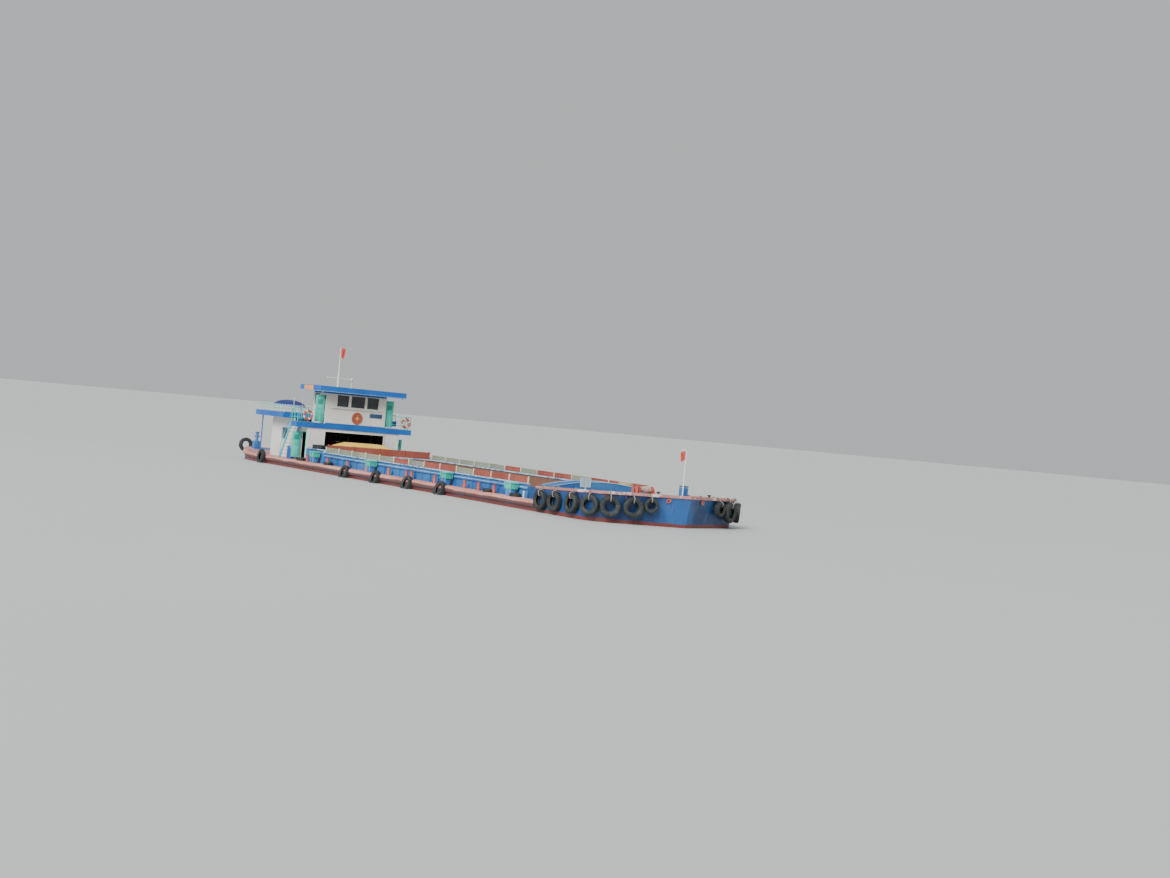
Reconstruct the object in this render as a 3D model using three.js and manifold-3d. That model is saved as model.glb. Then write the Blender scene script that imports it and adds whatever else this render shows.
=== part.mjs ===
import * as THREE from 'three';
import { mergeVertices } from 'three/addons/utils/BufferGeometryUtils.js';
import Module from 'manifold-3d';

// A self-propelled hopper barge, as a 1:2 scale model.
// Lengths are those of the real barge in millimetres; the whole group is scaled at the end.
// +X points to the bow, +Y to port, +Z up; the origin is under the middle of the flat bottom.
const modelScale = 1 / 2;

const wasm = await Module();
wasm.setup();

// Driving dimensions of the hull
const halfLength = 24000;
const halfBeam = 4750;
const mainDeckZ = 3000;
const holdFloorZ = 600;
const holdAftX = -9900;
const holdForwardX = 15100;
const stepX = 17050;
const bilgeChamfer = 250;
const railOut = 60;
const faceSweep = THREE.MathUtils.degToRad(20);
const stemX = halfLength - railOut / Math.cos(faceSweep);
const tyreWidth = 300;
const transomX = tyreWidth + 50 - halfLength;
const contactGap = 1;

// Driving dimensions of the hold's coaming
const coamingY = 4010;
const coamingPlate = 60;
const coamingTopZ = 3790;
const coamingInnerY = coamingY - coamingPlate;

// Driving dimensions of the deckhouse and wheelhouse
const houseFrontX = -14000;
const houseHalfWidth = 3500;
const houseAftX = houseFrontX - 6000;
const wallThickness = 60;
const upperDeckZ = 5610;
const upperDeckUnderZ = upperDeckZ - 370;
const upperDeckHalfWidth = 4410;
const upperDeckAftX = houseFrontX - 2250;
const aftRoofZ = 6130;
const aftRoofUnderZ = aftRoofZ - 370;
const aftRoofAftX = houseFrontX - 7000;
const cabHalfWidth = 2275;
const cabAftX = houseFrontX - 2150;
const cabTopZ = 7690;
const roofTopZ = 8180;
const fasciaHeight = 370;
const fasciaThickness = 60;

// Paint and metal colours
const paint = (color, roughness = 0.6, metalness = 0.1) => (
  { color, roughness, metalness }
);
const finishes = {
  hullBlue: paint(0x2a5f9e),
  coamingBlue: paint(0x2f6fb5),
  fasciaBlue: paint(0x0f5aaa),
  deckPink: paint(0xbe786e, 0.8),
  oxideRed: paint(0x82463c, 0.8),
  boardBrown: paint(0x7d4438, 0.85),
  turquoise: paint(0x3cbeaa),
  wallWhite: paint(0xdcdcd7, 0.7),
  bittRed: paint(0x9c4038),
  tyreBlack: paint(0x2d3232, 0.9, 0),
  holdGrey: paint(0x6a6a62, 0.8),
  yellow: paint(0xf0be32),
  glass: paint(0x1c2226, 0.1),
  mastWhite: paint(0xc8d2c8),
  boardWhite: paint(0xd8dcdc),
  ropeTan: paint(0xdcc896, 0.95, 0),
  engineGrey: paint(0x55605a),
  bronze: paint(0xa0803c, 0.35, 0.8),
  darkBlue: paint(0x1b3f86),
};

// Geometry helpers: closed three.js geometries become solids that can be joined and cut

function solidOf(geometry) {
  const bare = geometry.clone();
  bare.deleteAttribute('normal');
  bare.deleteAttribute('uv');
  const merged = mergeVertices(bare, 1e-3);
  return new wasm.Manifold(new wasm.Mesh({
    numProp: 3,
    vertProperties: new Float32Array(merged.attributes.position.array),
    triVerts: new Uint32Array(merged.index.array),
  }));
}

function geometryOf(solid) {
  const mesh = solid.getMesh();
  const geometry = new THREE.BufferGeometry();
  geometry.setAttribute('position', new THREE.BufferAttribute(new Float32Array(mesh.vertProperties), 3));
  geometry.setIndex(new THREE.BufferAttribute(new Uint32Array(mesh.triVerts), 1));
  geometry.computeVertexNormals();
  return geometry;
}

function join(solids) {
  return solids.reduce((sum, solid) => sum.add(solid));
}

function cut(solid, tools) {
  return tools.reduce((rest, tool) => rest.subtract(tool), solid);
}

// A box from its two corners
function box(x0, x1, y0, y1, z0, z1) {
  const geometry = new THREE.BoxGeometry(Math.abs(x1 - x0), Math.abs(y1 - y0), Math.abs(z1 - z0));
  geometry.translate((x0 + x1) / 2, (y0 + y1) / 2, (z0 + z1) / 2);
  return solidOf(geometry);
}

function extrude(points, depth, placement) {
  const shape = new THREE.Shape(points.map(([a, b]) => new THREE.Vector2(a, b)));
  const geometry = new THREE.ExtrudeGeometry(shape, { depth, bevelEnabled: false, curveSegments: 1 });
  geometry.applyMatrix4(placement);
  return solidOf(geometry);
}

// An outline in Y and Z run along X
function alongX(points, x0, x1) {
  const placement = new THREE.Matrix4().makeBasis(
    new THREE.Vector3(0, 1, 0), new THREE.Vector3(0, 0, 1), new THREE.Vector3(1, 0, 0),
  ).setPosition(x0, 0, 0);
  return extrude(points, x1 - x0, placement);
}

// An outline in X and Z run along Y
function alongY(points, y0, y1) {
  const placement = new THREE.Matrix4().makeBasis(
    new THREE.Vector3(1, 0, 0), new THREE.Vector3(0, 0, 1), new THREE.Vector3(0, -1, 0),
  ).setPosition(0, y1, 0);
  return extrude(points, y1 - y0, placement);
}

// A round bar between two points
function rod(start, end, radius, sides = 10, endRadius = radius) {
  const from = new THREE.Vector3(...start);
  const to = new THREE.Vector3(...end);
  const axis = to.clone().sub(from);
  const geometry = new THREE.CylinderGeometry(endRadius, radius, axis.length(), sides);
  const turn = new THREE.Quaternion().setFromUnitVectors(new THREE.Vector3(0, 1, 0), axis.normalize());
  geometry.applyQuaternion(turn);
  geometry.translate(...from.add(to).multiplyScalar(0.5).toArray());
  return solidOf(geometry);
}

// A body through rings of equally many points; its two end rings are flat and closed with caps
function loft(rings) {
  const count = rings[0].length;
  const positions = rings.flat(2);
  const index = [];
  for (let ring = 0; ring < rings.length - 1; ring += 1) {
    for (let i = 0; i < count; i += 1) {
      const a = ring * count + i;
      const b = ring * count + ((i + 1) % count);
      index.push(a, b, b + count, a, b + count, a + count);
    }
  }
  const last = (rings.length - 1) * count;
  for (const [offset, ring, isLast] of [[0, rings[0], false], [last, rings.at(-1), true]]) {
    const outline = flattened(ring);
    const anticlockwise = THREE.ShapeUtils.area(outline) > 0;
    for (const [a, b, c] of THREE.ShapeUtils.triangulateShape(outline, [])) {
      const face = [offset + a, offset + b, offset + c];
      index.push(...(isLast === anticlockwise ? face : face.reverse()));
    }
  }
  const geometry = new THREE.BufferGeometry();
  geometry.setAttribute('position', new THREE.Float32BufferAttribute(positions, 3));
  geometry.setIndex(index);
  return solidOf(signedVolume(geometry) < 0 ? turnedInsideOut(geometry) : geometry);
}

// A flat ring seen along the axis on which it shows the largest area
function flattened(ring) {
  const views = [[0, 1], [1, 2], [0, 2]].map(([u, v]) => (
    ring.map((point) => new THREE.Vector2(point[u], point[v]))
  ));
  const areaOf = (view) => Math.abs(THREE.ShapeUtils.area(view));
  return views.reduce((best, view) => (areaOf(view) > areaOf(best) ? view : best));
}

function signedVolume(geometry) {
  const corners = [new THREE.Vector3(), new THREE.Vector3(), new THREE.Vector3()];
  let volume = 0;
  for (let i = 0; i < geometry.index.count; i += 3) {
    corners.forEach((corner, k) => (
      corner.fromBufferAttribute(geometry.attributes.position, geometry.index.getX(i + k))
    ));
    volume += corners[0].dot(corners[1].clone().cross(corners[2])) / 6;
  }
  return volume;
}

function turnedInsideOut(geometry) {
  const turned = geometry.clone();
  turned.setIndex(Array.from(geometry.index.array).reverse());
  return turned;
}

// A section of [outward, upward] points swept along a path on deck, upright everywhere
function sweepOutward(path, section) {
  const rings = path.map((point, i) => {
    const before = path[Math.max(i - 1, 0)];
    const after = path[Math.min(i + 1, path.length - 1)];
    const into = new THREE.Vector2(point[0] - before[0], point[1] - before[1]);
    const outOf = new THREE.Vector2(after[0] - point[0], after[1] - point[1]);
    const first = (i === 0 ? outOf : into).normalize();
    const second = (i === path.length - 1 ? first.clone() : outOf).normalize();
    const along = first.clone().add(second).normalize();
    const mitre = 1 / along.dot(first);
    const normal = [along.y * mitre, -along.x * mitre];
    return section.map(([out, up]) => (
      [point[0] + normal[0] * out, point[1] + normal[1] * out, point[2] + up]
    ));
  });
  return loft(rings);
}

// A profile of [radius, distance along the axis] turned about an axis through a centre
function solidOfRevolution(profile, centre, axis, steps) {
  const geometry = new THREE.LatheGeometry(profile.map(([radius, along]) => new THREE.Vector2(radius, along)), steps);
  const up = new THREE.Vector3(0, 1, 0);
  geometry.applyQuaternion(new THREE.Quaternion().setFromUnitVectors(up, new THREE.Vector3(...axis).normalize()));
  geometry.translate(...centre);
  return solidOf(geometry);
}

// A mooring fender made of a tyre: a ring with a rounded shoulder
function tyre(centre, axis, diameter = 1050, width = tyreWidth, steps = 12) {
  const outer = diameter / 2;
  const inner = outer * 0.52;
  const half = width / 2;
  return solidOfRevolution([
    [inner, -half * 0.7], [outer * 0.86, -half], [outer, 0],
    [outer * 0.86, half], [inner, half * 0.7], [inner, -half * 0.7],
  ], centre, axis, steps);
}

function mirrored(solid) {
  return solid.mirror([0, 1, 0]);
}

// Both sides of the barge: starboard is built, port is its mirror image
const sides = [
  { side: 'starboard', sign: -1, place: (solid) => solid },
  { side: 'port', sign: 1, place: mirrored },
];

const barge = new THREE.Group();

function add(name, solid, finish, parent = barge) {
  const mesh = new THREE.Mesh(geometryOf(solid), new THREE.MeshStandardMaterial(finish));
  mesh.name = name;
  parent.add(mesh);
  return mesh;
}

// Bow: level outlines with a parallel side, a round shoulder and a straight face swept to the stem

const shoulderTurn = Math.PI / 2 - faceSweep;
const shoulderSteps = 7;
const foredeckRise = 0.042;
const foredeckZ = (x) => 3720 + (x - stepX) * foredeckRise;

function bowOutline({ stem, shoulder, halfWidth }) {
  const corner = stem - halfWidth * Math.tan(faceSweep);
  const radius = (corner - shoulder) / Math.tan(shoulderTurn / 2);
  const starboardSide = [[holdForwardX, -halfWidth]];
  for (let i = 0; i <= shoulderSteps; i += 1) {
    const turn = (shoulderTurn * i) / shoulderSteps;
    starboardSide.push([
      shoulder + radius * Math.sin(turn),
      -(halfWidth - radius) - radius * Math.cos(turn),
    ]);
  }
  const portSide = starboardSide.map(([x, y]) => [x, -y]).reverse();
  return [...starboardSide, [stem, 0], ...portSide];
}

// Columns: height, stem, start of the shoulder, half width
const bowLevels = [
  [0, 20900, 17400, halfBeam - bilgeChamfer],
  [bilgeChamfer, 21400, 17850, halfBeam],
  [1000, 22500, 19200, halfBeam],
  [1800, 23300, 20200, halfBeam],
  [2450, 23700, 20750, halfBeam],
];
const bowTop = { stem: stemX, shoulder: 21100, halfWidth: halfBeam };

function bowHull() {
  const rings = bowLevels.map(([z, stem, shoulder, halfWidth]) => (
    bowOutline({ stem, shoulder, halfWidth }).map(([x, y]) => [x, y, z])
  ));
  rings.push(bowOutline(bowTop).map(([x, y]) => [x, y, foredeckZ(x)]));
  const lowDeck = [-1, 1].map((sign) => (
    box(holdForwardX - 10, stepX, sign * coamingY, sign * (halfBeam + 10), mainDeckZ, mainDeckZ + 1500)
  ));
  return cut(loft(rings), lowDeck);
}

// Stern: sections with a raked bottom that clears the propellers

// Columns: place, half width, bottom half width, bottom height, chine height, deck height
const sternSections = [
  [-23650, 3500, 3300, 2150, 2350, 3330],
  [-23200, 4000, 3700, 2050, 2300, 3270],
  [-22200, 4450, 4150, 1850, 2150, 3150],
  [-20800, 4690, 4400, 1600, 1900, 3040],
  [-20100, halfBeam, 4450, 1450, 1750, mainDeckZ],
  [-18400, halfBeam, 4500, 600, 950, mainDeckZ],
  [-16800, halfBeam, halfBeam - bilgeChamfer, 0, bilgeChamfer, mainDeckZ],
  [holdAftX, halfBeam, halfBeam - bilgeChamfer, 0, bilgeChamfer, mainDeckZ],
];

const shaftY = 1900;
const shaftZ = 800;
const propellerX = -20050;
const rudderX = -21300;
const stockRadius = 70;
const engineWell = { aftX: -18100, forwardX: -14900, halfWidth: 2700, floorZ: 800 };

function sternHull() {
  const rings = sternSections.map(([x, half, bottomHalf, bottomZ, chineZ, deckZ]) => [
    [x, -half, deckZ], [x, -half, chineZ], [x, -bottomHalf, bottomZ],
    [x, bottomHalf, bottomZ], [x, half, chineZ], [x, half, deckZ],
  ]);
  const hull = loft(rings);
  const well = box(
    engineWell.aftX, engineWell.forwardX, -engineWell.halfWidth, engineWell.halfWidth,
    engineWell.floorZ, mainDeckZ + 100,
  );
  const tubes = [-1, 1].map((sign) => (
    rod([propellerX + 170, sign * shaftY, shaftZ], [-18000, sign * shaftY, shaftZ], 110)
  ));
  const trunks = [-1, 1].map((sign) => (
    rod([rudderX, sign * shaftY, 1500], [rudderX, sign * shaftY, 2300], stockRadius + 20, 16)
  ));
  return cut(join([hull, ...tubes]), [well, ...trunks]);
}

// Hold: side tanks with a low deck, a floor between them, and the coaming

function sideTank() {
  return alongX([
    [-coamingInnerY, 0], [-coamingInnerY, mainDeckZ], [-halfBeam, mainDeckZ],
    [-halfBeam, bilgeChamfer], [-halfBeam + bilgeChamfer, 0],
  ].reverse(), holdAftX, holdForwardX);
}

const stiffenerPitch = 1923;
const coamingFlange = { inner: coamingInnerY - 60, outer: coamingY + 90, height: 60 };
const coamingRail = { outer: coamingY + 90, z: 3480, height: 50 };

// The coaming runs on aft of the hold as a closed trunk on the side deck, joined to it by a bar
// that passes outside the first washboard post
const postSize = 70;
const middlePostY = coamingY - 20;
const sideTrunk = { aftX: -12900, forwardX: holdAftX - 151, innerY: 3400, topZ: 3930 };

function sideCoaming() {
  const plate = box(holdAftX, holdForwardX, -coamingY, -coamingInnerY, mainDeckZ, coamingTopZ);
  const flange = box(
    holdAftX, holdForwardX, -coamingFlange.outer, -coamingFlange.inner,
    coamingTopZ - coamingFlange.height, coamingTopZ,
  );
  const rail = box(
    holdAftX, holdForwardX, -coamingRail.outer, -coamingY + 10, coamingRail.z, coamingRail.z + coamingRail.height,
  );
  const stiffeners = [];
  for (let x = holdAftX + stiffenerPitch / 2; x < holdForwardX; x += stiffenerPitch) {
    stiffeners.push(box(x - 12, x + 12, -coamingY - 70, -coamingY + 10, mainDeckZ, coamingTopZ - 30));
  }
  const { aftX, forwardX, innerY, topZ } = sideTrunk;
  const trunk = box(aftX, forwardX, -coamingY, -innerY, mainDeckZ, topZ);
  const lip = box(aftX, forwardX, -coamingFlange.outer, -coamingY + 10, topZ - coamingFlange.height, topZ);
  const barInnerY = -middlePostY - postSize / 2 - 10;
  const bar = box(forwardX - 10, holdAftX + 100, -coamingFlange.outer, barInnerY, topZ - coamingFlange.height, topZ);
  const barFoot = box(holdAftX, holdAftX + 100, -coamingFlange.outer, barInnerY, coamingTopZ - 10, topZ);
  return join([plate, flange, rail, trunk, lip, bar, barFoot, ...stiffeners]);
}

const washboardHeight = 320;
const washboardBays = 13;
const boardLift = 15;

function sideWashboards() {
  const middleY = -middlePostY;
  const first = holdAftX + postSize;
  const last = holdForwardX - postSize;
  const posts = [];
  for (let i = 0; i <= washboardBays; i += 1) {
    const x = first + ((last - first) * i) / washboardBays;
    posts.push(box(
      x - postSize / 2, x + postSize / 2, middleY - postSize / 2, middleY + postSize / 2,
      coamingTopZ, coamingTopZ + washboardHeight + 40,
    ));
  }
  const boards = box(
    first, last, middleY - 15, middleY + 15, coamingTopZ + boardLift, coamingTopZ + washboardHeight,
  );
  return join([boards, ...posts]);
}

function aftCoaming() {
  const half = coamingFlange.outer;
  const plate = box(holdAftX - coamingPlate, holdAftX, -half, half, mainDeckZ, coamingTopZ);
  const flange = box(holdAftX - 150, holdAftX, -half, half, coamingTopZ - coamingFlange.height, coamingTopZ);
  return join([plate, flange]);
}

const aftBoardHeight = 480;

function aftWashboard() {
  const boardX = holdAftX - 45;
  const board = box(boardX - 15, boardX + 15, -3850, 3850, coamingTopZ + boardLift, coamingTopZ + aftBoardHeight);
  const posts = [-3800, -1900, 0, 1900, 3800].map((y) => (
    box(boardX - 40, boardX + 40, y - 35, y + 35, coamingTopZ, coamingTopZ + aftBoardHeight + 30)
  ));
  return join([board, ...posts]);
}

// Fenders: a half-round strake along the low deck's edge, and tyres that hang on it

const strakeSection = [[contactGap, -340], [100, -320], [150, -230], [150, -110], [90, -20], [contactGap, 10]];
const leaningTyreX = [-4920, -670, 3410, 7360];

// The strake starts just forward of the transom's corner
function sidePath() {
  const afterFirst = sternSections.slice(1).map(([x, half, , , , deckZ]) => [x, -half, deckZ]);
  return [[-23480, -3689, 3307], ...afterFirst, [stepX, -halfBeam, mainDeckZ]];
}

function fenderStrake() {
  const strake = sweepOutward(sidePath(), strakeSection);
  const leaning = leaningTyreX.map((x) => tyre([x, -4985, 2760], [0, -1, 0.35], 1000, 260));
  const quarter = tyre([-17950, -5030, 2880], [0, -1, 0.1], 1000, 260);
  return join([strake, ...leaning, quarter]);
}

// Low side deck: a walkway plate that carries bitts, ventilators and spare tyres
const walkway = { innerY: coamingFlange.outer + 15, outerY: halfBeam - 30, thickness: 14 };
const bittX = [-8600, -5670, -3050, -40, 2270, 2900, 5690, 9140, 10680, 12330];
const houseBittX = [-11700];
const ventilatorX = [-10650, -2440, 7030, 14060];
const flatTyreX = [-12570, -8380, 11800, 14590];

function bitt(x, y) {
  const post = rod([x, y, mainDeckZ], [x, y, mainDeckZ + 450], 80, 6);
  const bar = rod([x - 190, y, mainDeckZ + 160], [x + 190, y, mainDeckZ + 160], 32, 4);
  return join([post, bar]);
}

function ventilator(x, y) {
  const duct = box(x - 230, x + 230, y - 160, y + 160, mainDeckZ, mainDeckZ + 420);
  const head = box(x - 330, x + 330, y - 240, y + 240, mainDeckZ + 390, mainDeckZ + 720);
  const lid = box(x - 370, x + 370, y - 270, y + 270, mainDeckZ + 690, mainDeckZ + 750);
  return join([duct, head, lid]);
}

function sideDeckFittings() {
  const middleY = -(walkway.innerY + walkway.outerY) / 2;
  const plate = box(
    -13400, stepX - 20, -walkway.outerY, -walkway.innerY, mainDeckZ, mainDeckZ + walkway.thickness,
  );
  const tyreY = middleY - 40;
  return join([
    plate,
    ...[...houseBittX, ...bittX].map((x) => bitt(x, middleY)),
    ...ventilatorX.map((x) => ventilator(x, middleY)),
    ...flatTyreX.map((x) => tyre([x, tyreY, mainDeckZ + 110], [0, 0, 1], 620, 200)),
  ]);
}

// Foredeck edge rail, and the tyres hung from it by short ropes

const railSection = [[contactGap, -90], [railOut, -70], [railOut, 40], [20, 70], [-60, 70], [-60, contactGap], [contactGap, contactGap]];
// Distances of the hung tyres from the stem, along the deck edge; the first on each side is a small one
const bowTyres = {
  starboard: [2090, 3010, 4170, 5110, 6340, 7900, 9200],
  port: [2650, 3700, 4780, 5900, 7100, 8200, 9250],
};
const bowTyreDiameters = [760, 1050, 1050, 1050, 1050, 1050, 1050];
const bowTyreDrop = 130;

// The starboard deck edge, from the step to the stem
function bowEdge() {
  const outline = bowOutline(bowTop);
  const toStem = outline.slice(1, (outline.length + 1) / 2);
  return [[stepX, -halfBeam], ...toStem].map(([x, y]) => [x, y, foredeckZ(x)]);
}

// The place and the outward direction at a distance along an edge, counted from its last point
function pointFromStem(edge, distance) {
  let left = distance;
  let i = edge.length - 1;
  const lengthOf = (k) => new THREE.Vector3(...edge[k]).distanceTo(new THREE.Vector3(...edge[k - 1]));
  while (left > lengthOf(i)) {
    left -= lengthOf(i);
    i -= 1;
  }
  const here = new THREE.Vector3(...edge[i]);
  const next = new THREE.Vector3(...edge[i - 1]);
  const run = here.clone().sub(next).normalize();
  return { at: here.clone().lerp(next, left / lengthOf(i)), out: new THREE.Vector3(run.y, -run.x, 0).normalize() };
}

function bowFenders(side) {
  const edge = bowEdge();
  const reach = 150;
  const pastStem = [stemX + reach * Math.sin(faceSweep), reach * Math.cos(faceSweep), foredeckZ(stemX)];
  const rail = cut(sweepOutward([...edge, pastStem], railSection), [
    box(stemX - 1000, halfLength + 500, -contactGap, 1000, foredeckZ(stemX) - 500, foredeckZ(stemX) + 500),
  ]);
  const hung = bowTyres[side].map((distance, i) => {
    const diameter = bowTyreDiameters[i];
    const { at, out } = pointFromStem(edge, distance);
    const centre = at.clone().addScaledVector(out, tyreWidth / 2 + 25);
    centre.z -= diameter / 2 + bowTyreDrop;
    const top = at.clone().addScaledVector(out, railOut / 2);
    const rope = rod([top.x, top.y, at.z + 20], [centre.x, centre.y, centre.z + diameter / 2 - 60], 26, 6);
    return tyre(centre.toArray(), out.toArray(), diameter).add(rope);
  });
  return join([rail, ...hung]);
}

// The transom's rub rail with its two big corner tyres
function sternFenders() {
  const railX = transomX - contactGap;
  const rail = box(railX - 120, railX, -3450, 3450, 2980, 3230);
  const tyres = [-1, 1].map((sign) => (
    tyre([-halfLength + tyreWidth / 2, sign * 3760, 3430], [1, 0, 0], 1050, tyreWidth)
  ));
  return join([rail, ...tyres]);
}

// Foredeck gear

const onForedeck = (x) => foredeckZ(x) + contactGap;

function breakwater() {
  const halfWidth = 3200;
  const edgeZ = 3740;
  const crown = 380;
  const steps = 10;
  const arch = [];
  for (let i = 0; i <= steps; i += 1) {
    const y = -halfWidth + (2 * halfWidth * i) / steps;
    arch.push([y, edgeZ + crown * (1 - (y / halfWidth) ** 2)]);
  }
  const foot = onForedeck(16300);
  const profile = [[-halfWidth, foot], ...arch, [halfWidth, foot]].reverse();
  return alongX(profile, 15150, 16250);
}

function blankBoard() {
  const board = box(17200, 17230, -2120, -1480, 3890, 4360);
  const post = box(17190, 17240, -1830, -1770, onForedeck(17240), 3960);
  return join([board, post]);
}

const windlass = { x: 21000, y: -700, z: 4140, halfLength: 420, flange: 175, drum: 110 };

function windlassFrame() {
  const { x, z, halfLength: half } = windlass;
  const base = onForedeck(x + 500);
  const plate = box(x - 500, x + 500, -1400, 0, base, base + 30);
  const cheeks = [-1, 1].map((sign) => {
    const y = windlass.y + sign * (half + 50);
    return alongY([[x - 300, base], [x + 300, base], [x + 110, z + 90], [x - 110, z + 90]], y - 20, y + 20);
  });
  const bores = rod([x, -1400, z], [x, 100, z], 62, 16);
  const bitts = [-200, 150].map((ahead) => rod([x + ahead, -1320, base], [x + ahead, -1320, base + 420], 80, 10));
  return join([cut(join([plate, ...cheeks]), [bores]), ...bitts]);
}

function windlassDrum() {
  const { x, y, z, halfLength: half, flange, drum } = windlass;
  const halfProfile = [
    [0, half + 75], [48, half + 75], [48, half], [flange, half], [flange, half - 40], [drum, half - 40],
  ];
  const otherHalf = halfProfile.map(([radius, along]) => [radius, -along]).reverse();
  return solidOfRevolution([...halfProfile, ...otherHalf].reverse(), [x, y, z], [0, 1, 0], 14);
}

// The coil lies on the breakwater's vault, tilted with it
const ropeCoil = { x: 15700, y: 1920, z: 3986, slope: 0.1425, innerRadius: 200, outerRadius: 440, height: 200 };

function mooringRopeCoil() {
  const { x, y, z, slope, innerRadius: r0, outerRadius: r1, height } = ropeCoil;
  const profile = [[r0, 0], [r1, 0], [r1, height], [r0, height], [r0, 0]];
  return solidOfRevolution(profile, [x, y, z], [0, slope, 1], 24);
}

const locker = { x0: 22700, x1: 23030, y0: 160, y1: 490, z: 4540 };
const lockerLid = 60;
const lidGap = 12;
const steel = 15;

function foredeckLocker() {
  const { x0, x1, y0, y1, z } = locker;
  const base = onForedeck(x1);
  return cut(box(x0, x1, y0, y1, base, z - lockerLid), [
    box(x0 + steel, x1 - steel, y0 + steel, y1 - steel, base + steel, z),
  ]);
}

function lockerCover() {
  const { x0, x1, y0, y1 } = locker;
  return box(0, x1 - x0 + 20, y0 - 10, y1 + 10, lidGap, lockerLid);
}

function bowLampStaff() {
  const x = 23220;
  const top = 6350;
  const base = onForedeck(x + 100);
  return join([
    rod([x, 0, base], [x, 0, base + 30], 90, 12),
    rod([x, 0, base], [x, 0, top], 32, 8),
    rod([x, 0, top - 20], [x - 330, 0, top + 60], 24, 6),
    rod([x - 330, 0, top - 90], [x - 330, 0, top + 70], 60, 8),
  ]);
}

// Deckhouse: wall panels that meet at the corners, open at the front between two blocks

const frontOpening = { y0: -2200, y1: 2300, topZ: 5050 };
const houseDoor = { x0: houseFrontX - 880, x1: houseFrontX - 180, z0: 3120, z1: 4900 };
const cabDoor = { x0: houseFrontX - 900, x1: houseFrontX - 200, z0: 5680, z1: 7560 };

function houseFront() {
  const wall = box(
    houseFrontX - wallThickness, houseFrontX, -houseHalfWidth, houseHalfWidth, mainDeckZ, upperDeckUnderZ,
  );
  const { y0, y1, topZ } = frontOpening;
  return cut(wall, [box(houseFrontX - 200, houseFrontX + 100, y0, y1, mainDeckZ - 10, topZ)]);
}

function houseSide() {
  const outer = -houseHalfWidth;
  const inner = outer + wallThickness;
  const frontX = houseFrontX - wallThickness;
  const low = box(houseAftX, frontX, outer, inner, mainDeckZ, upperDeckUnderZ);
  const high = box(houseAftX, upperDeckAftX - 10, outer, inner, mainDeckZ, aftRoofUnderZ);
  const cabinWindow = box(-18200, -17300, outer - 50, inner + 50, 4300, 5000);
  return cut(join([low, high]), [
    box(houseDoor.x0, houseDoor.x1, outer - 50, inner + 50, houseDoor.z0, houseDoor.z1),
    cabinWindow,
  ]);
}

function houseAft() {
  const inner = houseHalfWidth - wallThickness;
  const wall = box(houseAftX, houseAftX + wallThickness, -inner, inner, mainDeckZ, aftRoofUnderZ);
  const doorway = box(houseAftX - 50, houseAftX + 200, -400, 400, 3150, 5000);
  const windows = [-1, 1].map((sign) => (
    box(houseAftX - 50, houseAftX + 200, sign * 1500, sign * 2500, 4250, 5000)
  ));
  return cut(wall, [doorway, ...windows]);
}

// A deck or roof: a plate with a deep fascia round its edge
function platform(x0, x1, half, topZ, plate = 80) {
  const t = fasciaThickness;
  const slab = box(x0, x1, -half, half, topZ - fasciaHeight, topZ);
  return cut(slab, [
    box(x0 + t, x1 - t, -half + t, half - t, topZ - fasciaHeight - 10, topZ - plate),
  ]);
}

const stair = { footX: -16520, topX: -14950, y0: -4300, y1: -3640, steps: 10 };

function upperDeck() {
  const skirt = platform(upperDeckAftX, houseFrontX + 60, upperDeckHalfWidth, upperDeckZ);
  const ceiling = box(
    upperDeckAftX, houseFrontX, -houseHalfWidth, houseHalfWidth, upperDeckUnderZ, upperDeckZ,
  );
  const stairOpening = box(
    upperDeckAftX - 10, stair.topX + 120, -upperDeckHalfWidth - 10, -houseHalfWidth,
    upperDeckUnderZ - 10, upperDeckZ + 10,
  );
  return cut(join([skirt, ceiling]), [stairOpening]);
}

function aftRoof() {
  const x1 = upperDeckAftX - 20;
  const skirt = platform(aftRoofAftX, x1, upperDeckHalfWidth, aftRoofZ);
  const ceiling = box(houseAftX, x1, -houseHalfWidth, houseHalfWidth, aftRoofUnderZ, aftRoofZ);
  const posts = [-1, 1].map((sign) => (
    rod([aftRoofAftX + 150, sign * 3900, 3052], [aftRoofAftX + 150, sign * 3900, aftRoofZ - 40], 45, 8)
  ));
  return join([skirt, ceiling, ...posts]);
}

// Wheelhouse

const windowSill = 6850;
const windowTop = 7640;
// Columns: from, to, across the front
const frontWindows = [[-1500, -620], [-440, 620], [800, 1680]];

function cabFront() {
  const wall = box(
    houseFrontX - wallThickness, houseFrontX, -cabHalfWidth, cabHalfWidth, upperDeckZ, cabTopZ,
  );
  const openings = frontWindows.map(([y0, y1]) => (
    box(houseFrontX - 200, houseFrontX + 100, y0, y1, windowSill, windowTop)
  ));
  const ledge = box(houseFrontX - 20, houseFrontX + 110, -1950, 1950, windowSill - 130, windowSill - 60);
  return join([cut(wall, openings), ledge]);
}

function cabSide() {
  const outer = -cabHalfWidth;
  const wall = box(
    cabAftX, houseFrontX - wallThickness, outer, outer + wallThickness, upperDeckZ, cabTopZ,
  );
  const opening = [outer - 50, outer + 200];
  return cut(wall, [
    box(cabDoor.x0, cabDoor.x1, ...opening, cabDoor.z0, cabDoor.z1),
    box(cabAftX + 250, cabDoor.x0 - 250, ...opening, windowSill, windowTop),
  ]);
}

function cabAft() {
  const inner = cabHalfWidth - wallThickness;
  const wall = box(cabAftX, cabAftX + wallThickness, -inner, inner, upperDeckZ, cabTopZ);
  return cut(wall, [-1, 1].map((sign) => (
    box(cabAftX - 50, cabAftX + 200, sign * 500, sign * 1700, windowSill, windowTop)
  )));
}

function cabGlass() {
  const x = houseFrontX - wallThickness - 2;
  return box(x - 12, x, -1600, 1780, windowSill - 60, windowTop + 40);
}

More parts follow.
